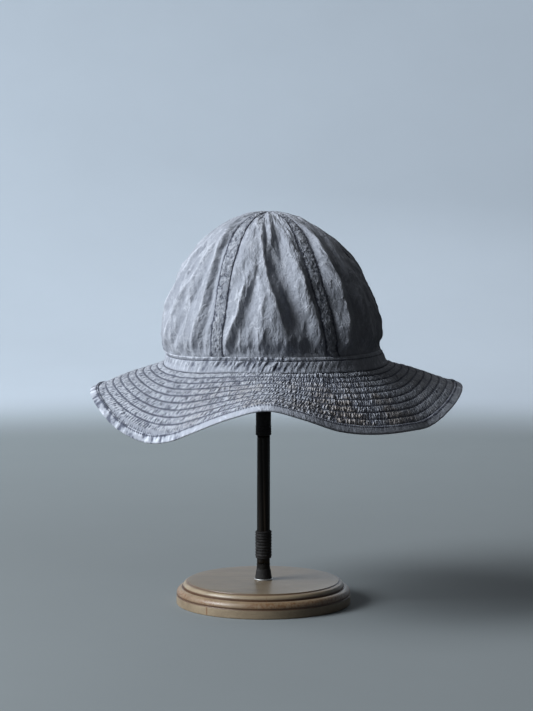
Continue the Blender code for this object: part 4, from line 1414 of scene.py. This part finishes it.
def turned_wood(name, colours):
    """Pale board turned across its grain, with red-brown stains in the bead and cracks.
    Heights and radii are in metres.
    """
    made = Finish(name, {"Roughness": 0.5, "Coat Weight": 0.4, "Coat Roughness": 0.27})
    where = made.where()
    x = made.axis(where, "X")
    y = made.axis(where, "Y")
    height = made.axis(where, "Z")
    radius = (x * x + y * y) ** 0.5
    grain = made.drawn_noise(where, (9.0, 60.0, 60.0), 5.0, 0.6)
    pores = made.drawn_noise(where, (60.0, 1500.0, 900.0), 3.0, 0.6)
    rings = made.node("TexWave", {"wave_type": "BANDS", "bands_direction": "Y"},
                      {"Vector": made.stretched(where, (0.8, 12.0, 6.0)), "Scale": 1.0,
                       "Distortion": 5.0, "Detail": 3.0})
    patches = made.smooth_step(made.noise(where, 26.0, 2.0), 0.30, 0.52)
    specks = made.smooth_step(made.noise(where, 420.0, 4.0, 0.8), 0.38, 0.62)
    # The flat top is painted much darker than the turned sides: painted shade.
    on_shaded_top = made.node("Math", {"operation": "GREATER_THAN"}, {0: height, 1: 0.0186})
    bead = made.between(height, 0.0082, 0.0135) * made.smooth_step(radius, 0.0672, 0.0695)
    groove = made.between(height, 0.0130, 0.0156) * made.between(radius, 0.0680, 0.0702)
    joint = made.between(height, 0.0072, 0.0092) * made.smooth_step(radius, 0.0736, 0.0740)
    step = made.between(height, 0.0183, 0.0200) * made.smooth_step(radius, 0.0645, 0.0650)
    front = 1.0 - made.smooth_step(y, -0.001, 0.001)
    crack = made.between(x, -0.0480, -0.0468) * made.between(height, 0.0005, 0.0076)
    knot = made.between(x, 0.0020, 0.0030) * made.between(height, 0.0090, 0.0176)
    colour = made.mix(made.smooth_step(grain, 0.2, 0.7), colours["wood_dark"], colours["wood"])
    for amount, over in (
        (rings * 0.12, "wood_dark"),
        (on_shaded_top * 0.8, "wood_top"),
        (bead * (0.3 + patches * specks * 0.7), "stain"),
        (groove, "stain_dark"),
        (joint * 0.9 + step * 0.8, "stain_dark"),
        (front * (crack * 0.8 + knot * 0.35), "stain"),
    ):
        colour = made.mix(amount, colour, colours[over])
    blotches = made.drawn_noise(where, (45.0, 110.0, 110.0), 5.0, 0.7)
    colour = made.tint(colour, 0.44 + pores * 0.45 + blotches * 0.65)
    roughness = 0.42 + pores * 0.3
    return made.finish(colour, roughness, made.bump(pores * 0.6 + grain * 0.4, 0.0003, 0.5))


def wrapped(name, colours, torn_at=1.0):
    """Matt black tape, greyed where it is rubbed. Above torn_at, in metres, it is torn away
    from the darker rod.
    """
    made = Finish(name, {"Roughness": 0.7, "Specular IOR Level": 0.2})
    where = made.where()
    rubbed = made.noise(where, 160.0, 5.0, 0.7)
    colour = made.mix(made.smooth_step(rubbed, 0.42, 0.7), colours["wrap"], colours["wrap_worn"])
    ragged = made.drawn_noise(where, (260.0, 260.0, 90.0), 3.0, 0.6)
    edge = made.axis(where, "Z") - ragged * 0.008
    torn = made.smooth_step(edge, torn_at - 0.0042, torn_at - 0.0038)
    colour = made.mix(torn, colour, colours["rod"])
    return made.finish(colour, 0.55 + rubbed * 0.3, made.bump(rubbed, 0.0004, 0.6))


def rod_finish(name, colours):
    """Black rods with a brown cast and long drawn scratches."""
    made = Finish(name, {"Roughness": 0.45, "Specular IOR Level": 0.14})
    drawn = made.drawn_noise(made.where(), (700.0, 700.0, 12.0), 4.0, 0.6)
    colour = made.mix(made.smooth_step(drawn, 0.4, 0.7), colours["rod"], colours["rod_worn"])
    return made.finish(colour, 0.3 + drawn * 0.3, made.bump(drawn, 0.0002, 0.5))


def metal_finish(name, colour):
    made = Finish(name, {"Roughness": 0.25, "Metallic": 1.0})
    brushed = made.drawn_noise(made.where(), (300.0, 300.0, 3000.0))
    return made.finish(made.tint(colour, 0.8 + brushed * 0.3), 0.4 + brushed * 0.2, None)


def floor_finish(name, floor, wall):
    """A pale floor that grows paler outwards and runs up into a wall. It is seen only from
    above, so that the object's underside can be looked at.
    """
    made = Finish(name, {"Roughness": 0.85})
    where = made.where()
    cloud = made.noise(where, 2.2, 5.0, 0.6)
    out = made.node("VectorMath", {"operation": "LENGTH"}, {0: where}, "Value")
    colour = made.mix(made.smooth_step(out, 1.15, 1.75), floor, wall)
    made.finish(made.tint(colour, 0.93 + cloud * 0.14))
    seen = made.node("LightPath") + made.node("LightPath", output="Is Glossy Ray")
    dark = made.node("BsdfDiffuse", None, {0: (0.06, 0.06, 0.06)})
    pale = Value(made, made.shader.outputs[0])
    lit = made.node("MixShader", None, {0: seen, 1: dark, 2: pale})
    behind = made.node("NewGeometry", output="Backfacing")
    shown = made.node("MixShader", None, {0: behind, 1: lit, 2: made.node("BsdfTransparent")})
    made.feed(made.nodes["Material Output"].inputs["Surface"], shown)
    return made.material


# ------------------------------------------------------------------ settings
def colour_setting(name, default, description):
    return FloatVectorProperty(name=name, description=description, subtype="COLOR",
                               size=3, min=0.0, max=1.0, default=default)


def length_setting(name, default, low, high, description):
    return FloatProperty(name=name, description=description, default=default, min=low,
                         max=high, unit="LENGTH")


def power_setting(name, default, description):
    return FloatProperty(name=name, description=description, default=default, min=0.0,
                         max=500.0, unit="POWER")


class ClothSettings(bpy.types.PropertyGroup):
    fold_depth: FloatProperty(
        name="Fold Depth", description="How deep the crown's folds are, 1 as worn",
        default=1.0, min=0.0, max=2.0, subtype="FACTOR")
    pucker_depth: length_setting("Pucker Depth", 0.0008, 0.0, 0.002,
                                 "Height of the quilting between two stitch rows")
    stitch_pitch: length_setting("Stitch Pitch", 0.0028, 0.0015, 0.006,
                                 "Length of one stitch with its gap")
    thread_width: length_setting("Thread Width", 0.00045, 0.0002, 0.001,
                                 "Diameter of the sewing thread")
    cloth: colour_setting("Cloth", (0.285, 0.305, 0.35), "Washed cotton")
    # The worn colour is partly painted highlight, and the deep colour partly painted shade.
    worn: colour_setting("Worn Cloth", (0.45, 0.475, 0.53), "Cotton on rubbed ridges")
    deep: colour_setting("Deep Cloth", (0.058, 0.066, 0.095), "Cotton in grooves")
    warm: colour_setting("Faded Cloth", (0.30, 0.265, 0.235), "Brown cast on the brim")
    thread: colour_setting("Thread", (0.05, 0.053, 0.075), "Sewing thread")


class StandSettings(bpy.types.PropertyGroup):
    wood: colour_setting("Wood", (0.335, 0.262, 0.172), "Pale turned wood")
    wood_dark: colour_setting("Wood Grain", (0.205, 0.148, 0.088), "Darker grain")
    # Painted shade: the flat top is much darker than the turned sides.
    wood_top: colour_setting("Wood Top", (0.128, 0.094, 0.056), "Shaded flat top")
    stain: colour_setting("Stain", (0.165, 0.076, 0.027), "Red-brown stain in the bead")
    stain_dark: colour_setting("Groove", (0.085, 0.038, 0.015), "Stain in the groove")
    wrap: colour_setting("Wrapping", (0.011, 0.010, 0.010), "Black tape")
    wrap_worn: colour_setting("Rubbed Wrapping", (0.04, 0.039, 0.038), "Tape where rubbed")
    rod: colour_setting("Rod", (0.004, 0.003, 0.002), "Black rods")
    rod_worn: colour_setting("Worn Rod", (0.018, 0.012, 0.007), "Rods where worn")
    metal: colour_setting("Washer", (0.80, 0.80, 0.78), "Bright washer")


class StageSettings(bpy.types.PropertyGroup):
    floor: colour_setting("Floor", (0.185, 0.207, 0.215), "Pale floor")
    wall: colour_setting("Wall", (0.47, 0.52, 0.58), "Paler wall behind it")
    sky: colour_setting("Ambient", (0.74, 0.76, 0.80), "Colour of the room's own light")
    ambient: FloatProperty(name="Ambient Strength", description="Light from all round",
                           default=0.10, min=0.0, max=2.0)
    key_power: power_setting("Key Power", 72.0, "Window light from the left")
    fill_power: power_setting("Fill Power", 30.0, "Soft light from the upper left")
    rear_power: power_setting("Rear Power", 5.0, "Soft light from behind")
    back_power: power_setting("Backdrop Power", 35.0, "Light on the backdrop")


def colours_of(settings):
    """The settings' colours by name."""
    return {name: tuple(getattr(settings, name))
            for name, kind in settings.bl_rna.properties.items()
            if getattr(kind, "subtype", "") == "COLOR"}


# ------------------------------------------------------------------ operators
class SUNHAT_OT_crown(bpy.types.Operator):
    """Cut and fold the six cloth panels of the crown"""
    bl_idname = "sunhat.crown"
    bl_label = "Crown Panels"

    def execute(self, context):
        settings = context.scene.sunhat_cloth
        material = cotton("washed cotton", colours_of(settings))
        for index in range(len(PANELS)):
            make_panel(index, settings.fold_depth, material)
        return {"FINISHED"}


class SUNHAT_OT_seams(bpy.types.Operator):
    """Lay the felled seams over the joins of the panels"""
    bl_idname = "sunhat.seams"
    bl_label = "Felled Seams"

    def execute(self, context):
        material = cotton("felled cotton", colours_of(context.scene.sunhat_cloth), 0.88, 2.0)
        for seam in SEAMS:
            if seam.seed:
                make_felled_seam(seam, "crown_seam_" + seam.name, material)
        make_felled_seam(OVER_TIP, "crown_seam_cross", material)
        return {"FINISHED"}


class SUNHAT_OT_band(bpy.types.Operator):
    """Sew the head band between crown and brim"""
    bl_idname = "sunhat.band"
    bl_label = "Head Band"

    def execute(self, context):
        colours = colours_of(context.scene.sunhat_cloth)
        make_head_band(cotton("band cotton", colours, 1.13))
        return {"FINISHED"}


class SUNHAT_OT_brim(bpy.types.Operator):
    """Quilt the wide brim"""
    bl_idname = "sunhat.brim"
    bl_label = "Quilted Brim"

    def execute(self, context):
        settings = context.scene.sunhat_cloth
        material = cotton("quilted cotton", colours_of(settings), quilted=True)
        make_brim(settings.pucker_depth, material)
        return {"FINISHED"}


class SUNHAT_OT_binding(bpy.types.Operator):
    """Fold the tape over the brim's edge"""
    bl_idname = "sunhat.binding"
    bl_label = "Edge Tape"

    def execute(self, context):
        colours = colours_of(context.scene.sunhat_cloth)
        make_binding(cotton("tape cotton", colours, 1.3, 0.8))
        return {"FINISHED"}


class SUNHAT_OT_stitches(bpy.types.Operator):
    """Sew every stitch row"""
    bl_idname = "sunhat.stitches"
    bl_label = "Stitches"

    def execute(self, context):
        settings = context.scene.sunhat_cloth
        thread = thread_finish("sewing thread", tuple(settings.thread))
        sew("seam_stitches", seam_rows(), settings, thread)
        sew("band_stitches", band_rows(), settings, thread)
        for name, lift in (("brim_stitches_above", BRIM_THREAD),
                           ("brim_stitches_below", UNDER_THREAD)):
            sew(name, brim_rows(lift), settings, thread)
        sew("tape_stitches", binding_rows(), settings, thread, 0.8, 0.26, 1.9)
        return {"FINISHED"}


class SUNHAT_OT_stand(bpy.types.Operator):
    """Turn the wooden base and wrap the post"""
    bl_idname = "sunhat.stand"
    bl_label = "Display Stand"

    def execute(self, context):
        colours = colours_of(context.scene.sunhat_stand)
        wrap = wrapped("black wrap", colours)
        make_base(turned_wood("turned wood", colours))
        make_washer(metal_finish("bright metal", colours["metal"]))
        make_foot(wrapped("torn wrap", colours, 0.0295))
        make_collar(wrap)
        make_shaft(rod_finish("black rod", colours))
        make_rest(wrap)
        return {"FINISHED"}


class SUNHAT_OT_stage(bpy.types.Operator):
    """Set up the pale floor, the soft light and the camera"""
    bl_idname = "sunhat.stage"
    bl_label = "Stage"

    def execute(self, context):
        settings = context.scene.sunhat_stage
        make_floor(settings)
        make_light(context.scene, settings)
        make_camera(context.scene)
        return {"FINISHED"}


# ------------------------------------------------------------------ stage
def link_stage(name, data):
    held = bpy.data.objects.new(name, data)
    bpy.context.scene.collection.objects.link(held)
    return held


def make_floor(settings):
    """A round floor that bends up into a wall."""
    middle = COVE_RADIUS - COVE_BEND
    bend = arc(middle, COVE_BEND, COVE_BEND, -90.0, 0.0, 16)
    profile = [(0.0, 0.0), (1000.0, 0.0)] + bend + [(COVE_RADIUS, COVE_HEIGHT)]
    mesh = spin_profile("cove", profile, 96)
    if mesh.polygons[0].normal.z < 0.0:
        mesh.flip_normals()
    mesh.shade_smooth()
    mesh.materials.append(floor_finish("pale floor", tuple(settings.floor), tuple(settings.wall)))
    link_stage("cove", mesh)


def make_light(scene, settings):
    """The room's own light, and soft windows that the camera doesn't see."""
    world = bpy.data.worlds.new("soft room")
    world.use_nodes = True
    background = world.node_tree.nodes["Background"]
    background.inputs["Color"].default_value = (*settings.sky, 1.0)
    background.inputs["Strength"].default_value = settings.ambient
    scene.world = world
    scene.view_settings.view_transform = "Standard"
    for window in WINDOWS:
        light = bpy.data.lights.new(window.name, "AREA")
        light.shape = "RECTANGLE"
        light.size, light.size_y = window.size
        light.energy = getattr(settings, window.power)
        light.color = window.colour
        lamp = link_stage(window.name, light)
        lamp.location = window.place
        aim = Vector(window.target) - Vector(window.place)
        lamp.rotation_euler = aim.to_track_quat("-Z", "Y").to_euler()
        lamp.visible_camera = False


def make_camera(scene):
    camera = bpy.data.cameras.new("photo camera")
    camera.sensor_width = SENSOR
    camera.lens = CAMERA_FOCAL_PIXELS / PHOTO_LONG_SIDE * SENSOR
    camera.clip_start = 0.05
    held = link_stage("photo camera", camera)
    held.location = (0.0, -CAMERA_DISTANCE, CAMERA_HEIGHT)
    pitch = math.radians(90.0 - CAMERA_PITCH)
    held.rotation_euler = Euler((pitch, 0.0, math.radians(-CAMERA_YAW)))
    scene.camera = held


class SUNHAT_PT_tools(bpy.types.Panel):
    """Sizes, colours and pieces of the sun hat"""
    bl_idname = "SUNHAT_PT_tools"
    bl_label = "Sun Hat"
    bl_space_type = "VIEW_3D"
    bl_region_type = "UI"
    bl_category = "Sun Hat"

    def draw(self, context):
        for title, settings in (("Cloth", context.scene.sunhat_cloth),
                                ("Stand", context.scene.sunhat_stand),
                                ("Stage", context.scene.sunhat_stage)):
            box = self.layout.box()
            box.label(text=title)
            for name in settings.__annotations__:
                box.prop(settings, name)
        for operator in OPERATORS:
            self.layout.operator(operator.bl_idname)


OPERATORS = (
    SUNHAT_OT_crown,
    SUNHAT_OT_seams,
    SUNHAT_OT_band,
    SUNHAT_OT_brim,
    SUNHAT_OT_binding,
    SUNHAT_OT_stitches,
    SUNHAT_OT_stand,
    SUNHAT_OT_stage,
)
SETTINGS = (ClothSettings, StandSettings, StageSettings)


def register():
    for kind in SETTINGS + OPERATORS + (SUNHAT_PT_tools,):
        bpy.utils.register_class(kind)
    bpy.types.Scene.sunhat_cloth = PointerProperty(type=ClothSettings)
    bpy.types.Scene.sunhat_stand = PointerProperty(type=StandSettings)
    bpy.types.Scene.sunhat_stage = PointerProperty(type=StageSettings)


def unregister():
    for name in ("sunhat_cloth", "sunhat_stand", "sunhat_stage"):
        delattr(bpy.types.Scene, name)
    for kind in reversed(SETTINGS + OPERATORS + (SUNHAT_PT_tools,)):
        bpy.utils.unregister_class(kind)


def main():
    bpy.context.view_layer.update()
    register()
    bpy.ops.sunhat.crown()
    bpy.ops.sunhat.seams()
    bpy.ops.sunhat.band()
    bpy.ops.sunhat.brim()
    bpy.ops.sunhat.binding()
    bpy.ops.sunhat.stitches()
    bpy.ops.sunhat.stand()
    bpy.ops.sunhat.stage()


if __name__ == "__main__":
    main()
